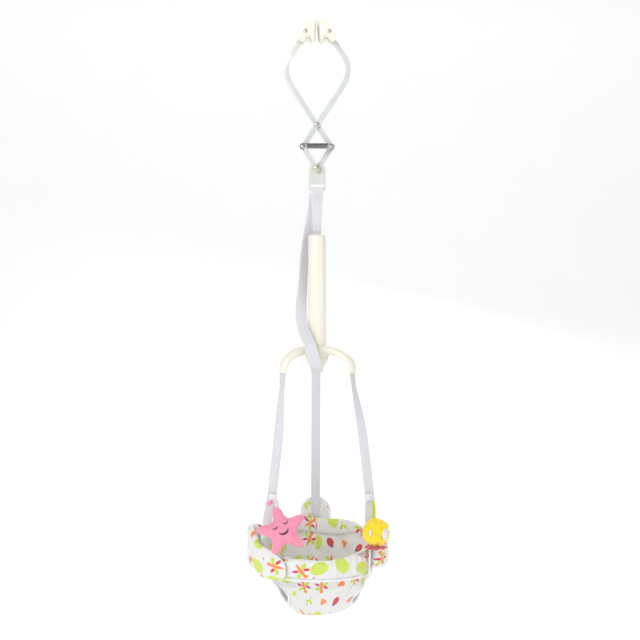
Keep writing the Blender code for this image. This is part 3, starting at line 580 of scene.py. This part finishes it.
def build_springs(look):
    """The clamp's extension spring and the bounce spring in the tube."""
    left, right = middle("side_rivet_left"), middle("side_rivet_right")
    wire, coil, hook, half, front = 0.0008, 0.0052, 0.0057, 0.0215, -0.0131
    path = [(left.x - hook * math.cos(math.radians(a)), -0.0079, left.z + hook * math.sin(math.radians(a)))
            for a in range(-110, 126, 12)]
    path.append((-half - 0.0012, (front - 0.0079) / 2, left.z + coil))
    turns, around = 23, 16
    for i in range(turns * around + 1):
        a = math.radians(90) + 2 * math.pi * i / around
        path.append((-half + 2 * half * i / (turns * around), front + coil * math.cos(a),
                     left.z + coil * math.sin(a)))
    path.append((half + 0.0012, (front - 0.0041) / 2, right.z + coil))
    path += [(right.x + hook * math.cos(math.radians(a)), -0.0041, right.z + hook * math.sin(math.radians(a)))
             for a in range(125, -111, -12)]
    spring = tube_along("clamp_spring_look", path, wire, 8)
    finish_piece(spring, None, look, ["clamp_spring", "clamp_spring_hook"])
    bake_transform(spring)
    ring_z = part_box("strap_d_ring")[0].z + 0.0012
    pin_z = middle("spring_anchor_pin").z
    hook, coil, turns = 0.0034, 0.0098, 20
    top, foot = ring_z - 0.012, pin_z + 0.012
    path = [(0, hook * math.cos(math.radians(a)), ring_z + hook * math.sin(math.radians(a)))
            for a in range(-50, 221, 18)]
    path.append((0, 0, ring_z - 0.0085))
    for i in range(turns * 18 + 1):
        a = 2 * math.pi * i / 18
        path.append((coil * math.cos(a), coil * math.sin(a), top + (foot - top) * i / (turns * 18)))
    path.append((0, 0, pin_z + 0.0085))
    path += [(0, hook * math.cos(math.radians(a)), pin_z + hook * math.sin(math.radians(a)))
             for a in range(140, 411, 18)]
    spring = tube_along("bounce_spring_look", path, 0.0011, 7)
    finish_piece(spring, None, look, ["bounce_spring"])
    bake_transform(spring)


# ---------------------------------------------------------------- straps
def strap_end(node):
    """Centre and width direction of the lowest edge of a CAD strap."""
    points = [v.co.copy() for v in frame["nodes"][node].data.vertices]
    low = min(p.z for p in points)
    ends = [p for p in points if p.z < low + 0.0004]
    centre = sum(ends, Vector()) / len(ends)
    far = max(ends, key=lambda p: (p - ends[0]).length)
    return centre, (far - ends[0]).normalized()


def eye_path(pin, away, side, radius, tail, spread):
    path = [pin + away * (3 * radius + (tail - 3 * radius) * k / 4) + side * spread for k in (4, 3, 2, 1, 0)]
    for i in range(17):
        a = math.radians(-25 + 230 * i / 16)
        path.append(pin + (side * math.cos(a) - away * math.sin(a)) * radius)
    return path + [pin + away * 3 * radius - side * spread]


STRAP_WIDTH, STRAP_THICK, SLACK_WIDTH = 0.020, 0.00125, 0.0240
WEB_WIDTH, WEB_NARROW, WEB_THICK = 0.025, 0.0182, 0.0014
STRAP_TOP, STRAP_KNEE = -0.700, -1.000


def smooth(t):
    t = max(0.0, min(1.0, t))
    return t * t * (3 - 2 * t)


def strap_bow(z, side):
    """How far a side strap bows sideways at a height."""
    t = max(0.0, min(1.0, (STRAP_TOP - z) / (STRAP_TOP - STRAP_KNEE)))
    amount = {"left": 0.0045, "right": 0.0075, "back": 0.0}[side]
    return Vector((amount * smooth(t / 0.45) * (1 - smooth((t - 0.82) / 0.18)), 0, 0))


def build_straps(looks, thread):
    for side, body_out in (("left", 210), ("right", 330), ("back", 90)):
        node = "strap_" + side
        pin = middle("strap_pin_" + side)
        foot, wide = strap_end(node)
        a = math.radians(body_out)
        out, across = Vector((math.cos(a), math.sin(a), 0)), Vector((-math.sin(a), math.cos(a), 0))
        if wide.dot(across) < 0:
            wide = -wide
        wide = Vector((wide.x, wide.y, 0)).normalized()
        knee = foot + Vector((0, 0, 0.040 if side != "back" else 0.024))
        away = (knee - pin).normalized()
        lean = (out - away * out.dot(away)).normalized()
        end = eye_path(pin, away, lean, 0.0024, 0.026, 0.0009)
        run = [end[-1].lerp(knee, k / 30) for k in range(1, 30)]
        bow = 0.0 if side == "back" else 1.0
        run = [p + strap_bow(p.z, side) for p in run]
        path = end + run + [knee.lerp(foot, k / 5) for k in range(6)]
        hold = len(end) / len(path)

        def across_at(share):
            t = max(0.0, (share - hold) / (1 - hold))
            front = Vector((1, -0.15 if side == "left" else 0.15, 0)) * (1 if across.x >= 0 else -1)
            turn = bow * smooth(t / 0.40) * (1 - smooth((t - 0.74) / 0.16))
            return across.lerp(wide, t).lerp(front, turn)

        strap = tape(node + "_look", path, across_at, lambda share: STRAP_WIDTH, STRAP_THICK)
        finish_piece(strap, "seat", looks["webbing"], [node], 60)
    bar = Vector((0, 0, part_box("upper_strap")[1].z - 0.0044))
    ring = Vector((0, 0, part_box("strap_d_ring")[1].z - 0.0012))
    down, deep = Vector((0, 0, -1)), Vector((0, 1, 0))
    top = eye_path(bar, down, deep, 0.0037, 0.030, 0.00095)
    foot = eye_path(ring, -down, deep, 0.0029, 0.040, 0.00095)
    run = [top[-1].lerp(foot[-1], k / 40) for k in range(1, 40)]
    cap_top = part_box("tube_cap")[1].z

    def turned(share):
        """The strap twists a little between the hanger and the tube."""
        z = (top + run + foot[::-1])[round(share * (len(top + run + foot) - 1))].z
        t = max(0.0, min(1.0, (bar.z - 0.02 - z) / 0.05)) * max(0.0, min(1.0, (z - cap_top + 0.05) / 0.05))
        angle = math.radians(26) * t
        return Vector((math.cos(angle), -math.sin(angle), 0))

    def width(share):
        z = (top + run + foot[::-1])[round(share * (len(top + run + foot) - 1))].z
        t = max(0.0, min(1.0, (bar.z - 0.012 - z) / 0.075))
        return WEB_WIDTH + (WEB_NARROW - WEB_WIDTH) * t

    strap = tape("upper_strap_look", top + run + foot[::-1], turned, width, WEB_THICK)
    finish_piece(strap, "upper_strap", looks["webbing"], ["upper_strap"], 60)
    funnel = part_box("yoke_funnel")[0].z
    under = funnel - 0.0009
    route = [(-0.0040, 0.0056, -0.3300), (-0.0072, 0.0105, -0.3600), (-0.0140, 0.0150, -0.3950),
             (-0.0225, 0.0160, -0.4350), (-0.0272, 0.0110, -0.4800), (-0.0300, 0.0050, -0.5250),
             (-0.0330, -0.0040, -0.5650), (-0.0315, -0.0190, -0.5980), (-0.0225, -0.0340, -0.6260),
             (-0.0140, -0.0405, -0.6470), (-0.0060, -0.0390, -0.6750), (-0.0020, -0.0290, -0.6930),
             (0.0, -0.0150, under), (0.0, 0.0, under), (0.0, 0.0110, under)]
    turns = [0, 6, 24, 41, 41, 37, 18, 0, -8, -6] + [0] * 5

    def slack_turn(share):
        place = share * (len(turns) - 1)
        low = min(int(place), len(turns) - 2)
        angle = math.radians(turns[low] + (turns[low + 1] - turns[low]) * (place - low))
        return Vector((math.cos(angle), math.sin(angle), 0))

    slack = tape("safety_strap_look", spline(route, 8), slack_turn, lambda share: SLACK_WIDTH, STRAP_THICK)
    finish_piece(slack, None, looks["webbing"], ["safety_strap"], 60)
    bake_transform(slack)
    box_stitch("hanger_stitches", Vector((0, -0.00175, bar.z - 0.021)), Vector((1, 0, 0)), Vector((0, 0, 1)),
               0.017, 0.014, "upper_strap", thread)


def box_stitch(name, centre, wide, tall, width, height, body, thread):
    """A sewn square with a cross in it."""
    n = wide.cross(tall).normalized()
    c = [centre + wide * (x * width / 2) + tall * (y * height / 2)
         for x, y in ((-1, -1), (1, -1), (1, 1), (-1, 1))]
    path = [c[0], c[1], c[2], c[3], c[0], c[2], c[3], c[1]]
    stitches(name, path, [n] * (len(path) - 1), body, thread)


# ---------------------------------------------------------------- seat
RIM_X, RIM_Y = 0.1160, 0.1120                            # half widths of the seat at its rim
SEAT_LEVELS = [(-1.0560, RIM_X, RIM_Y), (-1.0900, 0.1150, 0.1105), (-1.1180, 0.1085, 0.1005),
               (-1.1500, 0.0880, 0.0815), (-1.1740, 0.0730, 0.0690), (-1.1860, 0.0610, 0.0600)]
LEG_Y, LEG_Z, LEG_RADIUS = -0.0220, -1.1280, 0.0405


def girth(z):
    """Half widths of the seat's outer skin at a height."""
    if z >= SEAT_LEVELS[0][0]:
        return SEAT_LEVELS[0][1:]
    for (z0, x0, y0), (z1, x1, y1) in zip(SEAT_LEVELS, SEAT_LEVELS[1:]):
        if z >= z1:
            t = (z0 - z) / (z0 - z1)
            t = t * t * (3 - 2 * t) * 0.45 + t * 0.55
            return x0 + (x1 - x0) * t, y0 + (y1 - y0) * t
    return SEAT_LEVELS[-1][1:]


def rim_z(a):
    """Height of the seat's upper edge: high at the back, low behind the front roll."""
    front = max(0.0, -math.sin(a + math.radians(6))) ** 1.5
    return -1.0380 + 0.0140 * math.sin(a) - 0.0130 * front


def crumple(p, size, depth):
    return depth * noise.noise(Vector((p.x / size, p.y / size, p.z / size * 0.7)))


def on_seat(a, z, offset):
    """A point that far outside the seat's skin."""
    x, y = girth(z)
    return Vector(((x + offset) * math.cos(a) + lean_of(z), (y + offset) * math.sin(a), z))


def lean_of(z):
    """The soft seat hangs a little to one side at its foot."""
    return 0.0120 * max(0.0, min(1.0, (-1.085 - z) / 0.08))


def evened(loop):
    """A closed row of points with its jags averaged out."""
    for _ in range(4):
        loop = [(loop[i - 1] + p * 2 + loop[(i + 1) % len(loop)]) / 4 for i, p in enumerate(loop)]
    return loop


def tipped(p):
    """The seat's foot rides up a little on the right."""
    return p + Vector((0, 0, 0.10 * (p.x + 0.04) * smooth((-1.12 - p.z) / 0.066)))


def build_sling(look, piping):
    sides, rows = 168, 46
    rings = []
    for r in range(rows + 1):
        t = r / rows
        ring = []
        for i in range(sides):
            a = 2 * math.pi * i / sides
            z = rim_z(a) + (SEAT_LEVELS[-1][0] - rim_z(a)) * t
            p = on_seat(a, z, -0.0015)
            out = Vector((math.cos(a), math.sin(a), 0))
            pull = math.sin(math.pi * min(1.0, t * 1.1))
            p += out * (crumple(p, 0.030, 0.0042) + 0.0017 * math.sin(9 * a + 14 * t)) * pull
            ring.append(tipped(p))
        rings.append(ring)
    for share, drop in ((0.82, 0.0016), (0.55, 0.0023), (0.25, 0.0025)):
        ring = []
        for i in range(sides):
            a = 2 * math.pi * i / sides
            x, y = SEAT_LEVELS[-1][1:]
            p = Vector((x * share * math.cos(a) + lean_of(-1.2), y * share * math.sin(a),
                        SEAT_LEVELS[-1][0] - drop))
            ring.append(tipped(p + Vector((0, 0, crumple(p, 0.02, 0.0008)))))
        rings.append(ring)
    obj = loft("seat_sling_look", rings, capped=False)
    bm = bmesh.new()
    bm.from_mesh(obj.data)
    bm.verts.ensure_lookup_table()
    bm.faces.new([bm.verts[(len(rings) - 1) * sides + i] for i in range(sides)])

    def reach(p):
        return math.hypot(p.y - LEG_Y, p.z - LEG_Z)

    inside = [f for f in bm.faces if abs(f.calc_center_median().x) > 0.058
              and reach(f.calc_center_median()) < LEG_RADIUS]
    bmesh.ops.delete(bm, geom=inside, context="FACES")
    for v in bm.verts:
        if v.is_boundary and abs(v.co.x) > 0.055 and reach(v.co) < LEG_RADIUS * 1.25:
            d = Vector((0, v.co.y - LEG_Y, v.co.z - LEG_Z)).normalized() * LEG_RADIUS
            v.co.y, v.co.z = LEG_Y + d.y, LEG_Z + d.z
    edges = {sign: sorted((v.co.copy() for v in bm.verts if v.is_boundary and v.co.x * sign > 0.045
                           and reach(v.co) < LEG_RADIUS * 1.3),
                          key=lambda p: math.atan2(p.z - LEG_Z, p.y - LEG_Y)) for sign in (-1, 1)}
    bmesh.ops.recalc_face_normals(bm, faces=bm.faces)
    bm.to_mesh(obj.data)
    bm.free()
    modifier = obj.modifiers.new("cloth", "SOLIDIFY")
    modifier.thickness, modifier.offset = 0.0030, -1.0
    apply_modifiers(obj)
    finish_piece(obj, "seat", look, ["seat_sling"], 60)
    for sign, side in ((-1, "left"), (1, "right")):
        edge = tube_along("leg_binding_" + side, evened(edges[sign]), 0.0026, 10, closed=True)
        finish_piece(edge, "seat", piping)


PAD_STEPS, PAD_SIDES = 72, 28


def pad_band(name, start, stop, low, high, offset, half, look, stands_for=(), puff=0.0012, square=0.62):
    """A padded band that follows the seat from one angle to another. low and high give its edges' heights
    for s from -1 to 1 along it, and its ends are drawn in as a sewn pad's are."""
    rings = []
    for i in range(PAD_STEPS + 1):
        s = 2 * i / PAD_STEPS - 1
        a = math.radians(start + (stop - start) * (s + 1) / 2)
        end = max(0.02, 1 - abs(s) ** 5) ** 0.42
        z0, z1 = low(s), high(s)
        mid, tall = (z0 + z1) / 2, (z1 - z0) / 2
        ring = []
        for k in range(PAD_SIDES):
            b = 2 * math.pi * k / PAD_SIDES
            c, d = math.cos(b), math.sin(b)
            thick = half * end * math.copysign(abs(c) ** square, c)
            z = mid + tall * (0.35 + 0.65 * end) * math.copysign(abs(d) ** 0.72, d)
            base = Vector(((RIM_X + offset) * math.cos(a), (RIM_Y + offset) * math.sin(a), z))
            out = Vector((math.cos(a), math.sin(a), 0))
            p = base + out * thick
            gather = puff * (math.sin(46 * math.radians(start) + 60 * (a)) * 0.35 + noise.noise(p * 55))
            ring.append(p + out * gather * (1 if c > 0 else 0.3) + Vector((0, 0, 0.5 * gather)))
        rings.append(ring)
    obj = loft(name, rings)
    smooth_over(obj)
    finish_piece(obj, "seat", look, stands_for, 70)
    return obj


PIPING_OUT, PIPING_Z = 0.0172, -1.0945                   # the front roll's lower piping


def build_seat(looks, thread):
    cloth, piping = looks["printed_cotton"], looks["piping"]
    build_sling(cloth, piping)
    pad_band("front_roll_look", 234, 319, lambda s: -1.0935,
             lambda s: -1.0560 + 0.0020 * s - 0.0022 * math.cos(5 * s),
             0.0095, 0.0105, cloth, ["front_roll"], puff=0.0022)
    pad_band("back_band_look", 34, 146, lambda s: -1.0520 + 0.0035 * math.sin(5 * s), lambda s: -1.0205,
             -0.0030, 0.0092, cloth, ["back_band"], puff=0.0024)
    pad_band("wing_left_look", 146, 210, lambda s: -1.0960 + 0.016 * max(0.0, -s) + 0.007 * max(0.0, s),
             lambda s: -1.0150 - 0.010 * s * s, 0.0185, 0.0088, cloth, ["wing_left"], puff=0.0024)
    pad_band("wing_right_look", -36, 32, lambda s: -1.0990 + 0.006 * (1 - s),
             lambda s: -1.0150 - 0.020 * max(0, -s), 0.0215, 0.0092, cloth, ["wing_right"], puff=0.0024)
    pad_band("left_flap_look", 203, 243, lambda s: -1.0985 + 0.016 * max(0.0, -s) ** 2 + 0.004 * max(0.0, s),
             lambda s: -1.0380 - 0.012 * s - 0.008 * max(0.0, s) ** 2, 0.0250, 0.0056, cloth,
             puff=0.0018, square=0.9)
    path = [((RIM_X + PIPING_OUT) * math.cos(a), (RIM_Y + PIPING_OUT) * math.sin(a), PIPING_Z)
            for a in (math.radians(238 + 80 * i / 60) for i in range(61))]
    pipe = tube_along("front_piping", path, 0.0019, 8)
    finish_piece(pipe, "seat", piping)
    pipe = tube_along("right_piping", [on_seat(math.radians(-42), z, 0.0205)
                                       for z in (-1.095, -1.085, -1.074, -1.062, -1.050, -1.042)], 0.0017, 8)
    finish_piece(pipe, "seat", piping)
    rim = [Vector(((RIM_X - 0.0025) * math.cos(a), (RIM_Y - 0.0025) * math.sin(a), rim_z(a) + 0.0004))
           for a in (2 * math.pi * i / 120 for i in range(120))]
    rim = tube_along("rim_binding", rim, 0.0030, 10, closed=True)
    finish_piece(rim, "seat", piping)
    build_tab(looks, thread)
    for name, start, stop, z in (("front_stitches", 240, 316, -1.1000), ("band_stitches", 40, 140, -1.0600)):
        path = [on_seat(math.radians(start + (stop - start) * i / 60), z, 0.0012) for i in range(61)]
        normals = [Vector((p.x, p.y, 0)).normalized() for p in path]
        stitches(name, path, normals, "seat", thread)


def build_tab(looks, thread):
    """The back tab: a D of quilted cloth with a bound edge, and the back strap's sewn square."""
    low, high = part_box("back_tab")
    half, y = (high.x - low.x) / 2, (low.y + high.y) / 2
    top = high.z
    rings = []
    outline = [(half * math.cos(a), top - half + half * math.sin(a)) for a in
               (math.pi * i / 30 for i in range(31))]
    outline += [(-half, top - half - 0.008 * k) for k in range(1, 7)]
    outline += [(-half + half * k / 5, low.z) for k in range(1, 10)]
    outline += [(half, top - half - 0.008 * k) for k in range(6, 0, -1)]
    centre = Vector((0, 0, top - half))
    for depth, size in ((-1, 0.55), (-1, 0.85), (-0.75, 0.97), (0, 1), (0.75, 0.97), (1, 0.85), (1, 0.55)):
        rings.append([Vector((x * size, y + depth * 0.0019, centre.z + (z - centre.z) * size))
                      for x, z in outline])
    tab = loft("back_tab_look", rings)
    finish_piece(tab, "seat", looks["printed_cotton"], ["back_tab"], 60)
    edge = outline[:31] + outline[31:34]
    edge = [(half, top - half - 0.016), (half, top - half - 0.008)] + edge
    binding = tube_along("tab_binding", [(x, y, z) for x, z in edge], 0.0026, 8)
    finish_piece(binding, "seat", looks["piping"])
    foot = strap_end("strap_back")[0]
    box_stitch("back_strap_stitches", foot + Vector((0, -0.0008, 0.010)), Vector((1, 0, 0)),
               Vector((0, 0, 1)), 0.014, 0.013, "seat", thread)


# ---------------------------------------------------------------- toys
STAR_CENTRE, BALL_CENTRE = Vector((-0.0700, -0.0900, -1.0050)), Vector((0.1130, -0.1000, -1.0070))
STAR_PIVOT, BALL_PIVOT = Vector((-0.0860, -0.0680, -0.9530)), Vector((0.1020, -0.0640, -0.9560))
STAR_TURN, STAR_TILT = 107, 22                           # degrees
STROKE = 0.00062                                         # radius of the face's thread


def star_frame():
    """Across, up and out directions of the tilted star's face."""
    s, c = math.sin(math.radians(STAR_TILT)), math.cos(math.radians(STAR_TILT))
    return Vector((1, 0, 0)), Vector((0, s, c)), Vector((0, -c, s))


def star_reach(a):
    return 0.0278 + 0.0232 * (0.5 + 0.5 * math.cos(5 * (a - math.radians(STAR_TURN)))) ** 1.7


def star_point(a, share, depth=0.0):
    """A point of the puffed star: share 0 at the middle, 1 on the seam; depth +1 front, -1 back."""
    across, up, out = star_frame()
    r = star_reach(a) * share
    puff = 0.0118 * max(0.0, 1 - share ** 2.6) ** 0.5
    puff *= 0.80 + 0.20 * math.cos(math.pi * min(1, share)) * 0.5
    return STAR_CENTRE + across * (r * math.cos(a)) + up * (r * math.sin(a)) + out * (depth * puff)


def build_star(looks, face):
    rings, sides = [], 140
    levels = [0.06, 0.2, 0.36, 0.52, 0.66, 0.78, 0.87, 0.94, 0.98, 1.0]
    for depth, shares in ((1, levels), (-1, levels[::-1][1:])):
        for share in shares:
            ring = []
            for i in range(sides):
                a = 2 * math.pi * i / sides
                p = star_point(a, share, depth)
                pucker = 0.0005 * math.sin(54 * a) * share ** 8
                p += star_frame()[2] * (crumple(p, 0.012, 0.0013) * (1 - share) + pucker)
                ring.append(p)
            rings.append(ring)
    star = loft("star_toy_look", rings)
    smooth_over(star)
    finish_piece(star, "star", looks["pink_plush"], ["star_toy"], 80)
    turn = math.radians(28)

    def face_point(x, y):
        c, s = math.cos(turn), math.sin(turn)
        u, v = x * c - y * s, x * s + y * c
        a, r = math.atan2(v, u), math.hypot(u, v)
        return star_point(a, min(0.98, r / star_reach(a)), 1) + star_frame()[2] * 0.0006

    def stroke(name, points, radius):
        line = tube_along(name, [face_point(x, y) for x, y in points], radius, 6)
        finish_piece(line, "star", face)

    def arc_of(x, y, wide, deep, thick, name):
        """A curved stroke, thickest in its middle."""
        angles = [math.radians(190 + 160 * i / 16) for i in range(17)]
        for letter, k in (("a", -1), ("b", 0), ("c", 1)):
            bent = deep + k * thick
            stroke(name + "_" + letter, [(x + wide * math.cos(a), y + bent * math.sin(a)) for a in angles],
                   STROKE)

    arc_of(-0.0116, 0.0122, 0.0048, 0.0040, 0.0005, "star_eye_left")
    arc_of(0.0116, 0.0122, 0.0048, 0.0040, 0.0005, "star_eye_right")
    arc_of(0.0004, -0.0015, 0.0096, 0.0070, 0.0013, "star_smile")


def lump(p):
    """Clumps of long yarn, as a height over the ball."""
    near = noise.voronoi(p / 0.0102)[0][0]
    fine = noise.noise(p / 0.0016) * 0.00035
    return 0.0058 * max(0.0, 1 - (near / 0.78) ** 2) + fine


def build_ball(looks, white):
    sides, rows, r0 = 220, 110, 0.0228
    rings = []
    for r in range(rows + 1):
        b = math.pi * (0.008 + 0.984 * r / rows)
        ring = []
        for i in range(sides):
            a = 2 * math.pi * i / sides
            d = Vector((math.sin(b) * math.cos(a), math.sin(b) * math.sin(a), math.cos(b)))
            ring.append(BALL_CENTRE + d * (r0 + lump(d * r0 + Vector((0.3, 0.1, 0.2)))))
        rings.append(ring)
    ball = loft("ball_toy_look", rings)
    finish_piece(ball, "ball", looks["yellow_plush"], ["ball_toy"], 80)
    # The right patch is a white oval on the ball. The left patch is a small white piece that stands for a
    # painted highlight.
    for name, turn, lift, wide, tall in (("ball_patch_right", 38, 0.0, 0.0080, 0.0105),
                                         ("ball_painted_highlight_left", -30, 0.0035, 0.0026, 0.0062)):
        a = math.radians(turn)
        out, side = Vector((math.sin(a), -math.cos(a), 0)), Vector((math.cos(a), math.sin(a), 0))
        centre = BALL_CENTRE + out * 0.0262 * math.cos(lift / 0.0262) + Vector((0, 0, lift))
        rings = []
        for share, depth in ((1.0, -0.0030), (1.04, 0.0004), (0.92, 0.0014), (0.6, 0.0020), (0.2, 0.0024)):
            rings.append([centre + side * (wide * share * math.cos(b)) + out * depth
                          + Vector((0, 0, tall * share * math.sin(b)))
                          for b in (2 * math.pi * i / 40 for i in range(40))])
        patch = loft(name, rings)
        smooth_over(patch)
        finish_piece(patch, "ball", white, (), 80)
    low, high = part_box("ball_frill")
    mid, half = (low.z + high.z) / 2, (high.z - low.z) / 2
    wide = (high.x - low.x) / 2
    rings = []
    for share, z, t in ((0.55, half, 0), (0.80, half * 0.5, 0.4), (1.0, -half * 0.55, 1), (0.94, -half, 1),
                        (0.60, -half * 0.35, 0.4), (0.40, 0, 0)):
        ring = []
        for i in range(160):
            a = 2 * math.pi * i / 160
            wave = abs(math.sin(4.5 * a)) ** 0.7 - 0.6
            r = wide * share * (1 + 0.10 * t * wave)
            ring.append(Vector((BALL_CENTRE.x + r * math.cos(a), BALL_CENTRE.y + r * math.sin(a),
                                mid + z + 0.0010 * t * math.sin(9 * a))))
        rings.append(ring)
    frill = loft("ball_frill_look", rings)
    smooth_over(frill)
    finish_piece(frill, "ball", looks["crimson_felt"], ["ball_frill"], 80)


def build_toy_bands(looks):
    """White loops round the straps, and the tapes that hang the toys from them."""
    for node, side in (("star_band", "left"), ("ball_band", "right")):
        refined(node, looks["webbing"], strap_bow(middle(node).z, side))
    across, up = star_frame()[:2]
    top = STAR_CENTRE + across * math.cos(math.radians(STAR_TURN)) * 0.0440 + up * 0.0420
    path = [STAR_PIVOT + Vector((0.002, -0.0035, 0.004)), STAR_PIVOT + Vector((0.004, -0.009, -0.002)),
            top + Vector((0.002, -0.002, 0.006)), top + Vector((0.001, 0.001, -0.004))]
    loop = tape("star_loop", spline(path, 8), lambda share: Vector((0.94, 0.10, 0.30)).normalized(),
                lambda share: 0.0100 - 0.004 * share, 0.0012)
    finish_piece(loop, "star", looks["webbing"], (), 60)
    path = [STAR_PIVOT + Vector(step) for step in
            ((-0.0045, -0.0030, 0.0020), (-0.0095, -0.0080, 0.0), (-0.0150, -0.0085, -0.0035))]
    tab = tape("star_tab_look", spline(path, 8), lambda share: Vector((0.15, 0.0, 1.0)).normalized(),
               lambda share: 0.0095, 0.0016)
    finish_piece(tab, "star", looks["pink_plush"], ["star_tab"], 60)
    head = BALL_CENTRE + Vector((-0.004, 0.004, 0.0235))
    start = BALL_PIVOT + Vector((0.0085, -0.0045, 0.003))
    path = [start, start.lerp(head, 0.45) + Vector((0, -0.004, 0.003)), head, head + Vector((0, 0, -0.006))]
    ribbon = tape("ball_ribbon_look", spline(path, 8), lambda share: Vector((1, 0.1, 0)).normalized(),
                  lambda share: 0.0070, 0.0013)
    finish_piece(ribbon, "ball", looks["lime_ribbon"], ["ball_ribbon"], 60)


# ---------------------------------------------------------------- all of it
def main():
    looks = {
        "painted_steel": painted_steel(), "ivory_plastic": ivory_plastic(), "grip_rubber": grip_rubber(),
        "nickel": bright_metal("nickel", rgb(0.42, 0.42, 0.43), rgb(0.78, 0.77, 0.76), 0.16),
        "zinc_wire": bright_metal("zinc wire", rgb(0.16, 0.16, 0.17), rgb(0.42, 0.42, 0.43), 0.22),
        "brass": bright_metal("brass", rgb(0.62, 0.50, 0.24), rgb(0.88, 0.76, 0.44), 0.2),
        "webbing": webbing_cloth(), "printed_cotton": printed_cotton("printed cotton"),
        "piping": printed_cotton("piping", False, rgb(0.93, 0.93, 0.96)),
        "pink_plush": plush("pink plush", rgb(0.76, 0.20, 0.33), rgb(0.92, 0.38, 0.50), 900, 0.0008),
        "yellow_plush": plush("yellow plush", rgb(0.90, 0.58, 0.005), rgb(1.0, 0.80, 0.03), 1400, 0.0006),
        "lime_ribbon": ribbon_look("lime ribbon", LIME), "crimson_felt": ribbon_look("crimson felt", CRIMSON)}
    thread = thread_look("thread", rgb(0.78, 0.78, 0.84))
    face = thread_look("face thread", rgb(0.09, 0.04, 0.07))
    build_camera()
    build_stage()
    build_hard_pieces(looks)
    build_springs(looks["zinc_wire"])
    build_straps(looks, thread)
    build_seat(looks, thread)
    build_star(looks, face)
    build_ball(looks, plush("white plush", rgb(0.62, 0.62, 0.68), rgb(0.86, 0.86, 0.90), 1500, 0.0005))
    build_toy_bands(looks)


main()
